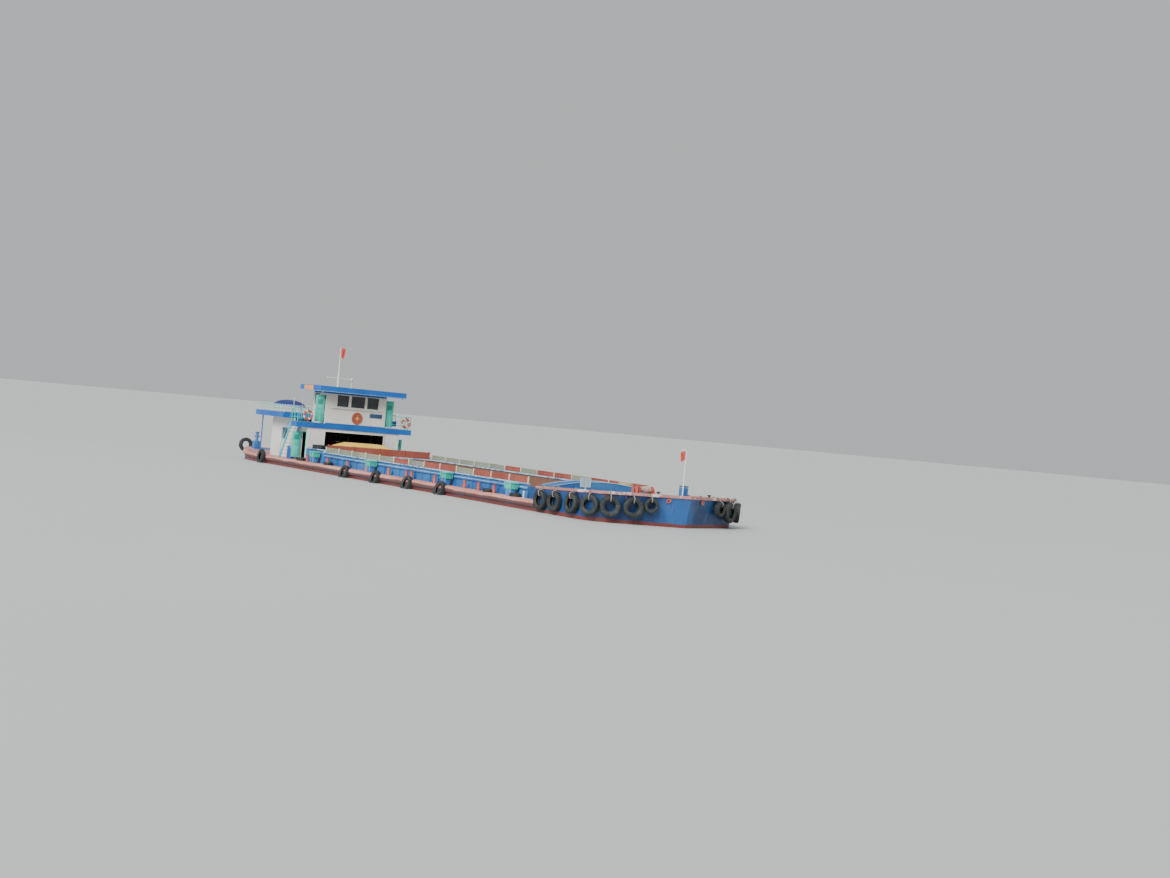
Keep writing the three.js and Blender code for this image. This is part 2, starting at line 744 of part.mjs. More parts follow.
const roof = { forward: 980, aftX: houseFrontX - 2300, halfWidth: 3290 };

function cabRoof() {
  const { forward, aftX, halfWidth } = roof;
  const t = fasciaThickness;
  const skirt = cut(box(aftX, houseFrontX + forward, -halfWidth, halfWidth, 7810, roofTopZ), [
    box(aftX + t, houseFrontX + forward - t, -halfWidth + t, halfWidth - t, 7700, roofTopZ - 80),
  ]);
  const ceiling = box(cabAftX, houseFrontX, -cabHalfWidth, cabHalfWidth, cabTopZ, roofTopZ - 40);
  return join([skirt, ceiling]);
}

// Doors: each leaf stands open square to the wall, hung on the aft edge of the house doorway
// and on the forward edge of the wheelhouse doorway

const leafThickness = 40;
const doorClearance = 15;

function doorLeaf({ x0, x1, z0, z1 }) {
  const width = x1 - x0 - 2 * doorClearance;
  const leaf = box(-leafThickness / 2, leafThickness / 2, -width, -20, z0 + doorClearance, z1 - doorClearance);
  const hinges = [0.2, 0.8].map((share) => {
    const z = z0 + (z1 - z0) * share;
    return rod([0, 0, z - 60], [0, 0, z + 60], 22, 10);
  });
  const straps = [0.2, 0.8].map((share) => {
    const z = z0 + (z1 - z0) * share;
    return box(-12, 12, -120, 0, z - 40, z + 40);
  });
  const handle = box(leafThickness / 2 - 5, leafThickness / 2 + 55, -width + 60, -width + 110, z0 + 850, z0 + 1000);
  return join([leaf, ...hinges, ...straps, handle]);
}

const hingeOut = 50;

// Railings, stair, mast and the fittings on top

function railing(points, height, posts, bars = [1, 0.5], radius = 22) {
  const solids = posts.map(([x, y, z]) => rod([x, y, z], [x, y, z + height], radius, 6));
  for (let i = 0; i < points.length - 1; i += 1) {
    const [a, b] = [points[i], points[i + 1]];
    for (const share of bars) {
      const run = new THREE.Vector3(b[0] - a[0], b[1] - a[1], 0).normalize().multiplyScalar(radius);
      solids.push(rod(
        [a[0] - run.x, a[1] - run.y, a[2] + height * share], [b[0] + run.x, b[1] + run.y, b[2] + height * share],
        radius, 6,
      ));
    }
  }
  return join(solids);
}

function lifeRing(x, y, z) {
  const ring = new THREE.TorusGeometry(290, 75, 6, 14);
  ring.rotateY(Math.PI / 2);
  ring.translate(x, y, z);
  return solidOf(ring);
}

const lifeRingY = { starboard: -3620, port: -3900 };

function upperRailing(side) {
  const ringY = lifeRingY[side];
  const z = upperDeckZ;
  const frontX = houseFrontX - 10;
  const outer = -upperDeckHalfWidth + 60;
  const corners = [[frontX, -2700, z], [frontX, outer, z], [houseFrontX - 900, outer, z]];
  const posts = [...corners, [frontX, -3550, z]];
  return join([
    railing(corners, 900, posts, [1, 0.66, 0.33]),
    lifeRing(frontX + 60, ringY, z + 480),
    box(frontX - 5, frontX + 20, ringY - 30, ringY + 30, z + 600, z + 900),
  ]);
}

function aftRoofRailing() {
  const z = aftRoofZ;
  const edge = -upperDeckHalfWidth + 60;
  const aft = aftRoofAftX + 60;
  const forward = upperDeckAftX - 120;
  const corners = [[forward, edge, z], [aft, edge, z], [aft, -edge, z], [forward, -edge, z]];
  const posts = [];
  for (let i = 0; i <= 4; i += 1) {
    const x = forward + ((aft - forward) * i) / 4;
    posts.push([x, edge, z], [x, -edge, z]);
  }
  for (const y of [-1450, 1450]) posts.push([aft, y, z]);
  return railing(corners, 420, posts, [1]);
}

function stairFlight() {
  const { footX, topX, y0, y1, steps } = stair;
  const top = upperDeckZ - 15;
  const half = 130;
  const slope = [
    [footX - half, mainDeckZ], [footX + half, mainDeckZ], [topX + half - 30, top], [topX - half - 30, top],
  ];
  const strings = [y0, y1].map((y) => alongY(slope, y - 20, y + 20));
  const treads = [];
  for (let i = 1; i < steps; i += 1) {
    const x = footX + ((topX - footX) * i) / steps;
    const z = mainDeckZ + ((top - mainDeckZ) * i) / steps;
    treads.push(box(x - 110, x + 110, y0, y1, z - 15, z + 15));
  }
  const railHeight = 850;
  const rails = [y0, y1].map((y) => join([
    rod([footX, y, mainDeckZ + 20], [footX, y, mainDeckZ + railHeight], 22, 6),
    rod([footX, y, mainDeckZ + railHeight], [topX, y, top + railHeight], 22, 6),
    rod([topX, y, top - 100], [topX, y, top + railHeight + 20], 22, 6),
  ]));
  return join([...strings, ...treads, ...rails]);
}

const mast = { x: houseFrontX - 2000, y: -620 };

function mastAssembly() {
  const { x, y } = mast;
  const base = roofTopZ + contactGap;
  const crossZ = 8800;
  const crossHalf = 800;
  return join([
    box(x - 110, x + 110, y - 110, y + 110, base, base + 30),
    rod([x, y, base], [x, y, 9300], 60, 10),
    rod([x, y, 9280], [x, y, 11000], 38, 8),
    rod([x, y - crossHalf, crossZ], [x, y + crossHalf, crossZ], 34, 8),
    ...[-1, 1].map((sign) => (
      rod([x, y + sign * crossHalf, crossZ - 60], [x, y + sign * crossHalf, crossZ + 90], 60, 8)
    )),
  ]);
}

function roofLampPost() {
  const [x, y] = [mast.x, 430];
  const globeZ = 8780;
  const base = roofTopZ + contactGap;
  const globe = new THREE.SphereGeometry(120, 12, 8);
  globe.rotateX(Math.PI / 2);
  globe.translate(x, y, globeZ);
  return join([rod([x, y, base], [x, y, globeZ - 50], 26, 8), rod([x, y, base], [x, y, base + 30], 80, 10), solidOf(globe)]);
}

function roofCanopy() {
  const radius = 1160;
  const base = aftRoofZ + 400;
  const centre = [-19300, -2640];
  const levels = [[1, 0], [0.97, 90], [0.8, 260], [0.5, 400], [0.2, 460]];
  const corners = 16;
  const rings = levels.map(([share, up]) => {
    const ring = [];
    for (let i = 0; i < corners; i += 1) {
      const angle = (2 * Math.PI * i) / corners;
      ring.push([
        centre[0] + radius * share * Math.cos(angle), centre[1] + radius * share * Math.sin(angle), base + up,
      ]);
    }
    return ring;
  });
  const legs = [-1, 1].flatMap((sx) => [-1, 1].map((sy) => (
    rod([centre[0] + sx * 640, centre[1] + sy * 640, aftRoofZ + contactGap],
      [centre[0] + sx * 640, centre[1] + sy * 640, base + 60], 35, 6)
  )));
  return join([loft(rings), ...legs]);
}

// A pair of mooring bollards on the quarters, joined by a plate that follows the stern deck
function sternBollards() {
  const [x0, x1] = [-23150, -22650];
  const middleX = (x0 + x1) / 2;
  const deckAt = (x) => 3270 - 0.12 * (x + 23200) + contactGap;
  const plate = alongY([[x0, deckAt(x0)], [x1, deckAt(x1)], [x1, deckAt(x1) + 40], [x0, deckAt(x0) + 40]], -3620, 3620);
  const bollards = [-1, 1].flatMap((sign) => {
    const y = sign * 3350;
    return [
      alongY([[x0 + 20, deckAt(x0 + 20)], [x1 - 20, deckAt(x1 - 20)], [x1 - 20, 3800], [x0 + 20, 3800]], y - 250, y + 250),
      rod([middleX, y, 3700], [middleX, y, 4400], 110, 10),
      rod([middleX, y, 4380], [middleX, y, 4460], 180, 10),
    ];
  });
  return join([plate, ...bollards]);
}

function deckBarrel() {
  const [x, y] = [-15250, -4050];
  return join([
    rod([x, y, mainDeckZ], [x, y, mainDeckZ + 860], 270, 14),
    rod([x, y, mainDeckZ + 270], [x, y, mainDeckZ + 300], 282, 14),
    rod([x, y, mainDeckZ + 560], [x, y, mainDeckZ + 590], 282, 14),
  ]);
}

function helmConsole() {
  const x = houseFrontX - 620;
  const wheel = new THREE.TorusGeometry(330, 24, 6, 14);
  wheel.rotateY(Math.PI / 2);
  wheel.translate(x - 240, 0, upperDeckZ + 900);
  return join([
    box(x - 150, x + 350, -900, 900, upperDeckZ, upperDeckZ + 950),
    rod([x - 260, 0, upperDeckZ + 900], [x - 140, 0, upperDeckZ + 900], 35, 8),
    solidOf(wheel),
    rod([x - 240, -320, upperDeckZ + 900], [x - 240, 320, upperDeckZ + 900], 16, 6),
    rod([x - 240, 0, upperDeckZ + 580], [x - 240, 0, upperDeckZ + 1220], 16, 6),
  ]);
}

// Skylight over the forward end of the engine room, with a hinged hipped cover
const skylight = { x0: -13600, x1: -11400, halfWidth: 1750, coamingZ: 4050 };

function skylightCoaming() {
  const { x0, x1, halfWidth, coamingZ } = skylight;
  return cut(box(x0, x1, -halfWidth, halfWidth, mainDeckZ, coamingZ), [
    box(x0 + 40, x1 - 40, -halfWidth + 40, halfWidth - 40, mainDeckZ + 60, coamingZ + 10),
  ]);
}

function skylightCover() {
  const { x0, x1, halfWidth } = skylight;
  const length = x1 - x0;
  const rim = (z, inset) => [
    [-40 + inset, -halfWidth - 40 + inset, z], [length + 40 - inset, -halfWidth - 40 + inset, z],
    [length + 40 - inset, halfWidth + 40 - inset, z], [-40 + inset, halfWidth + 40 - inset, z],
  ];
  return loft([rim(20, 0), rim(130, 0), rim(420, 620)]);
}

// Propulsion

function engineBlock(sign) {
  const y = sign * 1200;
  return join([
    box(-17300, -15400, y - 430, y + 430, engineWell.floorZ + contactGap, engineWell.floorZ + 1250),
    box(-17700, -17290, y - 300, y + 300, engineWell.floorZ + contactGap, engineWell.floorZ + 800),
  ]);
}

const propeller = { radius: 620, blades: 4 };

function propellerSolid() {
  const hub = rod([-170, 0, 0], [130, 0, 0], 130, 12, 90);
  const blade = new THREE.Shape();
  blade.moveTo(-90, 60);
  blade.bezierCurveTo(-330, 300, -330, 560, -60, propeller.radius);
  blade.bezierCurveTo(240, 600, 300, 300, 90, 60);
  const solids = [hub];
  for (let i = 0; i < propeller.blades; i += 1) {
    const geometry = new THREE.ExtrudeGeometry(blade, { depth: 40, bevelEnabled: false, curveSegments: 5 });
    geometry.translate(0, 0, -20);
    geometry.rotateY(THREE.MathUtils.degToRad(55));
    geometry.rotateX((2 * Math.PI * i) / propeller.blades + Math.PI / 4);
    solids.push(solidOf(geometry));
  }
  return join(solids);
}

function rudderSolid() {
  const foil = [];
  const chord = 1100;
  const balance = 280;
  for (const [along, half] of [[0, 0], [0.05, 45], [0.25, 80], [0.6, 60], [1, 12]]) {
    foil.push([balance - along * chord, half]);
  }
  const outline = [...foil, ...foil.slice(1).reverse().map(([x, y]) => [x, -y])];
  const blade = extrude(outline.reverse(), 1250, new THREE.Matrix4().setPosition(0, 0, 180));
  return join([blade, rod([0, 0, 1400], [0, 0, 2050], stockRadius, 14)]);
}

// Assembly

add('hull_bow', bowHull(), finishes.hullBlue);
add('hull_stern', sternHull(), finishes.hullBlue);
add('hull_hold_floor', box(holdAftX, holdForwardX, -coamingInnerY, coamingInnerY, 0, holdFloorZ), finishes.holdGrey);
add('coaming_aft', aftCoaming(), finishes.coamingBlue);
add('washboard_aft', aftWashboard(), finishes.boardBrown);
add('stern_fenders', sternFenders(), finishes.tyreBlack);
add('foredeck_breakwater', breakwater(), finishes.coamingBlue);
add('foredeck_board', blankBoard(), finishes.boardWhite);
add('windlass_frame', windlassFrame(), finishes.bittRed);
add('windlass_drum', windlassDrum(), finishes.bittRed);
add('mooring_rope_coil', mooringRopeCoil(), finishes.ropeTan);
add('foredeck_locker', foredeckLocker(), finishes.coamingBlue);
add('bow_lamp_staff', bowLampStaff(), finishes.mastWhite);
add('house_front', houseFront(), finishes.wallWhite);
add('house_aft', houseAft(), finishes.wallWhite);
add('upper_deck', upperDeck(), finishes.fasciaBlue);
add('aft_roof', aftRoof(), finishes.fasciaBlue);
add('aft_roof_railing', aftRoofRailing(), finishes.turquoise);
add('wheelhouse_front', cabFront(), finishes.wallWhite);
add('wheelhouse_aft', cabAft(), finishes.wallWhite);
add('wheelhouse_glass', cabGlass(), finishes.glass);
add('wheelhouse_roof', cabRoof(), finishes.fasciaBlue);
add('stair', stairFlight(), finishes.turquoise);
add('mast', mastAssembly(), finishes.mastWhite);
add('roof_lamp_post', roofLampPost(), finishes.mastWhite);
add('roof_canopy', roofCanopy(), finishes.darkBlue);
add('stern_bollards', sternBollards(), finishes.coamingBlue);
add('deck_barrel', deckBarrel(), finishes.darkBlue);
add('helm_console', helmConsole(), finishes.wallWhite);
add('skylight_coaming', skylightCoaming(), finishes.coamingBlue);

const lockerPivot = add('foredeck_locker_lid', lockerCover(), finishes.darkBlue);
lockerPivot.position.set(locker.x0 - 10, 0, locker.z - lockerLid);
const coverPivot = add('skylight_cover', skylightCover(), finishes.yellow);
coverPivot.position.set(skylight.x0, 0, skylight.coamingZ);

for (const { side, sign, place } of sides) {
  add(`hull_side_${side}`, place(sideTank()), finishes.hullBlue);
  add(`coaming_${side}`, place(sideCoaming()), finishes.coamingBlue);
  add(`washboards_${side}`, place(sideWashboards()), finishes.oxideRed);
  add(`fender_strake_${side}`, place(fenderStrake()), finishes.deckPink);
  add(`side_deck_fittings_${side}`, place(sideDeckFittings()), finishes.deckPink);
  add(`bow_fenders_${side}`, place(bowFenders(side)), finishes.tyreBlack);
  add(`house_side_${side}`, place(houseSide()), finishes.wallWhite);
  add(`wheelhouse_side_${side}`, place(cabSide()), finishes.wallWhite);
  add(`upper_railing_${side}`, place(upperRailing(side)), finishes.turquoise);
  add(`engine_${side}`, engineBlock(sign), finishes.engineGrey);

  const houseLeaf = add(`door_house_${side}`, place(doorLeaf(houseDoor)), finishes.turquoise);
  houseLeaf.position.set(houseDoor.x0 + doorClearance, sign * (houseHalfWidth + hingeOut), 0);
  const cabLeaf = add(`door_wheelhouse_${side}`, place(doorLeaf(cabDoor)), finishes.turquoise);
  cabLeaf.position.set(cabDoor.x1 - doorClearance, sign * (cabHalfWidth + hingeOut), 0);

  const screw = add(`propeller_${side}`, propellerSolid(), finishes.bronze);
  screw.position.set(propellerX, sign * shaftY, shaftZ);
  const rudder = add(`rudder_${side}`, rudderSolid(), finishes.oxideRed);
  rudder.position.set(rudderX, sign * shaftY, 0);
}

barge.scale.setScalar(modelScale);
export default barge;
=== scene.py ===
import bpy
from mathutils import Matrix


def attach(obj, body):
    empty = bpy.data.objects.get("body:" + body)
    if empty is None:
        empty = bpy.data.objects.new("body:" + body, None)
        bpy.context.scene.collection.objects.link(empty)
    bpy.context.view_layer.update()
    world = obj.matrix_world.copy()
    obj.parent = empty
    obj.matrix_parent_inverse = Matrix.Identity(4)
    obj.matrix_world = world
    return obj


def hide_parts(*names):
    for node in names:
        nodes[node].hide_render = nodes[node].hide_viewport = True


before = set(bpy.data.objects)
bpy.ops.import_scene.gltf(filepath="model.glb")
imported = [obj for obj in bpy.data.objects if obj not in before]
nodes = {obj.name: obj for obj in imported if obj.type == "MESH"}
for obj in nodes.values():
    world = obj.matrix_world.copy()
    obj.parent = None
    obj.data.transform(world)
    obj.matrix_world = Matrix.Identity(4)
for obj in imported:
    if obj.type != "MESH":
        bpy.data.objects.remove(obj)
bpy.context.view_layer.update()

import math
import random
import bpy
from mathutils import Matrix, Vector

# River barge, a half-size model. Places are written in millimetres of the real barge.
mm = 0.0005
random.seed(11)
sideSigns = {"starboard": -1, "port": 1}


def metres(point):
    return tuple(value * mm for value in point)


# Camera, at the photo's viewing angle
camera = {"place": (43.2831, -24.9859, 3.598), "turn": (89.46783, -5.26335, 55.43382), "lens": 49.2308,
          "sensor": 36, "clipEnd": 600}

bpy.ops.object.camera_add(location=camera["place"], rotation=[math.radians(a) for a in camera["turn"]])
eye = bpy.context.object
eye.data.lens = camera["lens"]
eye.data.sensor_width = camera["sensor"]
eye.data.clip_end = camera["clipEnd"]
bpy.context.scene.camera = eye
print("camera placed")


# Modelling helpers
def clearSelection():
    if bpy.context.object and bpy.context.object.mode != "OBJECT":
        bpy.ops.object.mode_set(mode="OBJECT")
    bpy.ops.object.select_all(action="DESELECT")


def pick(*objects):
    clearSelection()
    for obj in objects:
        obj.select_set(True)
    bpy.context.view_layer.objects.active = objects[0]


def settle(obj):
    pick(obj)
    bpy.ops.object.transform_apply(location=True, rotation=True, scale=True)
    return obj


# The material is given as itself or by its name in the list of materials
def dress(obj, material):
    obj.data.materials.clear()
    obj.data.materials.append(materials[material] if isinstance(material, str) else material)
    return obj


def cleaned(obj):
    pick(obj)
    bpy.ops.object.mode_set(mode="EDIT")
    bpy.ops.mesh.select_mode(type="VERT")
    bpy.ops.mesh.select_all(action="SELECT")
    bpy.ops.mesh.remove_doubles(threshold=0.00002)
    bpy.ops.mesh.normals_make_consistent(inside=False)
    bpy.ops.object.mode_set(mode="OBJECT")
    return obj


def block(low, high, material, bevel=8):
    clearSelection()
    size = [(b - a) * mm for a, b in zip(low, high)]
    bpy.ops.mesh.primitive_cube_add(size=1, location=[(a + b) / 2 * mm for a, b in zip(low, high)])
    obj = bpy.context.object
    obj.scale = size
    settle(obj)
    if bevel:
        bpy.ops.object.mode_set(mode="EDIT")
        bpy.ops.mesh.select_all(action="SELECT")
        bpy.ops.mesh.bevel(offset=min(bevel * mm, 0.3 * min(size)), segments=2)
        bpy.ops.object.mode_set(mode="OBJECT")
    return dress(obj, material)


# A block given for the port side, put on the side that the sign names
def sideBlock(sign, low, high, material, bevel=8):
    y0, y1 = sorted((sign * low[1], sign * high[1]))
    return block((low[0], y0, low[2]), (high[0], y1, high[2]), material, bevel)


def line(points, closed=False, flat=False):
    data = bpy.data.curves.new("line", "CURVE")
    data.dimensions = "2D" if flat else "3D"
    spline = data.splines.new("POLY")
    spline.points.add(len(points) - 1)
    for slot, place in zip(spline.points, points):
        slot.co = (*metres(place), 1)
    spline.use_cyclic_u = closed
    obj = bpy.data.objects.new("line", data)
    bpy.context.collection.objects.link(obj)
    return obj


def tube(points, radius, material, closed=False, sides=12):
    obj = line(points, closed)
    obj.data.bevel_depth = radius * mm
    obj.data.bevel_resolution = (sides - 4) // 2
    obj.data.use_fill_caps = not closed
    pick(obj)
    bpy.ops.object.convert(target="MESH")
    return dress(cleaned(bpy.context.object), material)


# A section of (to the right of the way, up) points run along a path
def swept(path, section, material):
    obj = line(path)
    outline = line([(a, b, 0) for a, b in section], closed=True, flat=True)
    obj.data.twist_mode = "Z_UP"
    obj.data.bevel_mode = "OBJECT"
    obj.data.bevel_object = outline
    obj.data.use_fill_caps = True
    pick(obj)
    bpy.ops.object.convert(target="MESH")
    obj = bpy.context.object
    bpy.data.objects.remove(outline)
    return dress(cleaned(obj), material)


def turning(axis, centre):
    towards = Vector(axis).normalized()
    return Matrix.Translation(metres(centre)) @ Vector((0, 0, 1)).rotation_difference(towards).to_matrix().to_4x4()


# A profile of (radius, along the axis) spun round the axis
def turned(profile, centre, material, axis=(0, 0, 1), steps=32):
    clearSelection()
    bpy.ops.mesh.primitive_plane_add(size=0.1)
    obj = bpy.context.object
    bpy.ops.object.mode_set(mode="EDIT")
    bpy.ops.mesh.select_mode(type="VERT")
    bpy.ops.mesh.select_all(action="SELECT")
    bpy.ops.mesh.merge(type="CENTER")
    bpy.ops.transform.translate(value=(profile[0][0] * mm, 0, profile[0][1] * mm))
    for (r0, h0), (r1, h1) in zip(profile, profile[1:]):
        step = ((r1 - r0) * mm, 0, (h1 - h0) * mm)
        bpy.ops.mesh.extrude_region_move(TRANSFORM_OT_translate={"value": step})
    bpy.ops.mesh.select_all(action="SELECT")
    bpy.ops.mesh.spin(steps=steps, angle=2 * math.pi, center=(0, 0, 0), axis=(0, 0, 1))
    bpy.ops.object.mode_set(mode="OBJECT")
    cleaned(obj)
    obj.data.transform(turning(axis, centre))
    return dress(obj, material)


def copied(obj, matrix):
    twin = obj.copy()
    twin.data = obj.data.copy()
    twin.data.transform(matrix)
    bpy.context.collection.objects.link(twin)
    return twin


def shifted(obj, offset):
    return copied(obj, Matrix.Translation(metres(offset)))


def discard(*objects):
    for obj in objects:
        bpy.data.objects.remove(obj)


# Goes into edit mode with only those faces selected that the test chooses
def chooseFaces(obj, isChosen):
    pick(obj)
    bpy.ops.object.mode_set(mode="EDIT")
    bpy.ops.mesh.select_all(action="DESELECT")
    bpy.ops.object.mode_set(mode="OBJECT")
    for face in obj.data.polygons:
        face.select = isChosen(face)
    bpy.context.tool_settings.mesh_select_mode = (False, False, True)
    bpy.ops.object.mode_set(mode="EDIT")


def raiseFaces(obj, isChosen, height):
    chooseFaces(obj, isChosen)
    bpy.ops.mesh.extrude_region_shrink_fatten(TRANSFORM_OT_shrink_fatten={"value": height * mm})
    bpy.ops.object.mode_set(mode="OBJECT")
    return obj


def joined(parts):
    pick(*parts)
    if len(parts) > 1:
        bpy.ops.object.join()
    return bpy.context.object


# Joins the parts into one named piece that rides on a body
def ready(name, parts, body="barge", standsFor=(), smooth=35):
    obj = joined(parts)
    obj.name = name
    obj.data.name = name
    settle(obj)
    bpy.ops.object.shade_smooth_by_angle(angle=math.radians(smooth))
    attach(obj, body)
    if standsFor:
        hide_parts(*standsFor)
    return obj


# Materials
def tone(red, green, blue):
    def linear(value):
        value /= 255
        return value / 12.92 if value <= 0.04045 else ((value + 0.055) / 1.055) ** 2.4
    return (linear(red), linear(green), linear(blue), 1)


class Paint:
    def __init__(self, name, roughness=0.5, metallic=0.0, coat=0.0):
        self.material = bpy.data.materials.new(name)
        self.material.use_nodes = True
        self.tree = self.material.node_tree
        self.shader = self.tree.nodes["Principled BSDF"]
        self.shader.inputs["Roughness"].default_value = roughness
        self.shader.inputs["Metallic"].default_value = metallic
        self.shader.inputs["Coat Weight"].default_value = coat
        self.place = self.tree.nodes.new("ShaderNodeTexCoord").outputs["Object"]
        self.parts = self.tree.nodes.new("ShaderNodeSeparateXYZ")
        self.wire(self.place, self.parts.inputs[0])
        self.facing = self.tree.nodes.new("ShaderNodeSeparateXYZ")
        self.wire(self.tree.nodes.new("ShaderNodeNewGeometry").outputs["Normal"], self.facing.inputs[0])

    def wire(self, source, target):
        self.tree.links.new(source, target)

    def put(self, value, socket):
        if isinstance(value, (int, float, tuple)):
            socket.default_value = value
        else:
            self.wire(value, socket)

    def noise(self, scale, stretch=(1, 1, 1), detail=4, rough=0.55, warp=0.0):
        mapping = self.tree.nodes.new("ShaderNodeMapping")
        mapping.inputs["Scale"].default_value = stretch
        self.wire(self.place, mapping.inputs["Vector"])
        node = self.tree.nodes.new("ShaderNodeTexNoise")
        node.inputs["Scale"].default_value = scale
        node.inputs["Detail"].default_value = detail
        node.inputs["Roughness"].default_value = rough
        node.inputs["Distortion"].default_value = warp
        self.wire(mapping.outputs[0], node.inputs["Vector"])
        return node.outputs["Fac"]

    def span(self, value, low, high, to=(0.0, 1.0)):
        node = self.tree.nodes.new("ShaderNodeMapRange")
        self.put(value, node.inputs["Value"])
        node.inputs["From Min"].default_value = low
        node.inputs["From Max"].default_value = high
        node.inputs["To Min"].default_value = to[0]
        node.inputs["To Max"].default_value = to[1]
        return node.outputs[0]

    def sum(self, kind, a, b=0.0):
        node = self.tree.nodes.new("ShaderNodeMath")
        node.operation = kind
        self.put(a, node.inputs[0])
        self.put(b, node.inputs[1])
        return node.outputs[0]

    def mix(self, factor, a, b, kind="MIX"):
        node = self.tree.nodes.new("ShaderNodeMix")
        node.data_type = "RGBA"
        node.blend_type = kind
        self.put(factor, node.inputs["Factor"])
        self.put(a, node.inputs["A"])
        self.put(b, node.inputs["B"])
        return node.outputs["Result"]

    def bump(self, height, strength, distance=0.004):
        node = self.tree.nodes.new("ShaderNodeBump")
        node.inputs["Strength"].default_value = strength
        node.inputs["Distance"].default_value = distance
        self.wire(height, node.inputs["Height"])
        self.wire(node.outputs[0], self.shader.inputs["Normal"])

    # Old paint: fading, fine mottling, streaks that run down, chips down to rust
    def worn(self, colour, faded, grime, streaks=0.5, chips=0.66, rust=tone(120, 66, 44)):
        base = self.mix(self.span(self.noise(0.9), 0.35, 0.65), colour, faded)
        base = self.mix(self.span(self.noise(14, detail=6), 0.3, 0.7, (0, 0.22)), base, faded)
        runs = self.span(self.noise(1, (26, 26, 1.1), detail=5), 0.52, 0.72, (0, streaks))
        base = self.mix(runs, base, grime)
        flakes = self.span(self.noise(7, detail=9, rough=0.72), chips, chips + 0.03)
        base = self.mix(flakes, base, rust)
        self.bump(self.noise(22, detail=6), 0.25, 0.003)
        return base

    def finish(self, colour, rough=(0.35, 0.62)):
        self.put(colour, self.shader.inputs["Base Color"])
        self.wire(self.span(self.noise(5, detail=5), 0.3, 0.7, rough), self.shader.inputs["Roughness"])
        return self.material


def simplePaint(name, colour, faded, grime, rough=(0.35, 0.62), **wear):
    paint = Paint(name)
    return paint.finish(paint.worn(colour, faded, grime, **wear), rough)


dirt = tone(104, 98, 86)

# Hull paint: blue sides over a red-oxide bottom, pink decks, rust under the deck edge
hullLook = {"bootTop": 2660, "deckPink": tone(186, 118, 106), "blue": tone(24, 70, 130),
            "deepBlue": tone(14, 40, 80), "rustDepth": 620, "holdHalf": 3960, "holdForward": 15105}


def hullFinish(name, deck, deckFaded, rim):
    paint = Paint(name)
    z = paint.parts.outputs["Z"]
    sides = paint.worn(hullLook["blue"], tone(44, 100, 160), tone(26, 46, 76), streaks=0.55, chips=0.71)
    patches = paint.span(paint.noise(0.8, (1, 1, 0.6), detail=3), 0.42, 0.56, (0, 0.8))
    sides = paint.mix(patches, sides, hullLook["deepBlue"])
    rustRuns = paint.span(paint.noise(1, (17, 17, 0.7), detail=6, warp=0.4), 0.57, 0.7)
    nearTop = paint.span(z, (rim - hullLook["rustDepth"]) * mm, rim * mm)
    sides = paint.mix(paint.sum("MULTIPLY", rustRuns, nearTop), sides, tone(140, 72, 58))
    edge = paint.sum("ADD", z, paint.span(paint.noise(2.2, detail=5), 0, 1, (-0.045, 0.045)))
    oxide = paint.mix(paint.noise(9, detail=6), tone(122, 54, 46), tone(86, 44, 42))
    sides = paint.mix(paint.span(edge, (hullLook["bootTop"] - 40) * mm, hullLook["bootTop"] * mm), oxide, sides)
    decks = paint.mix(paint.span(paint.noise(3, detail=7), 0.35, 0.65), deck, deckFaded)
    decks = paint.mix(paint.span(paint.noise(8, detail=8, rough=0.7), 0.6, 0.68), decks, tone(150, 84, 66))
    up = paint.span(paint.facing.outputs["Z"], 0.75, 0.85)
    inside = paint.sum("LESS_THAN", paint.sum("ABSOLUTE", paint.parts.outputs["Y"]), hullLook["holdHalf"] * mm)
    behind = paint.sum("LESS_THAN", paint.parts.outputs["X"], hullLook["holdForward"] * mm)
    lining = paint.mix(paint.noise(4, detail=7), tone(128, 100, 84), tone(92, 70, 60))
    sides = paint.mix(paint.sum("MULTIPLY", inside, behind), sides, lining)
    return paint.finish(paint.mix(up, sides, decks), (0.3, 0.6))


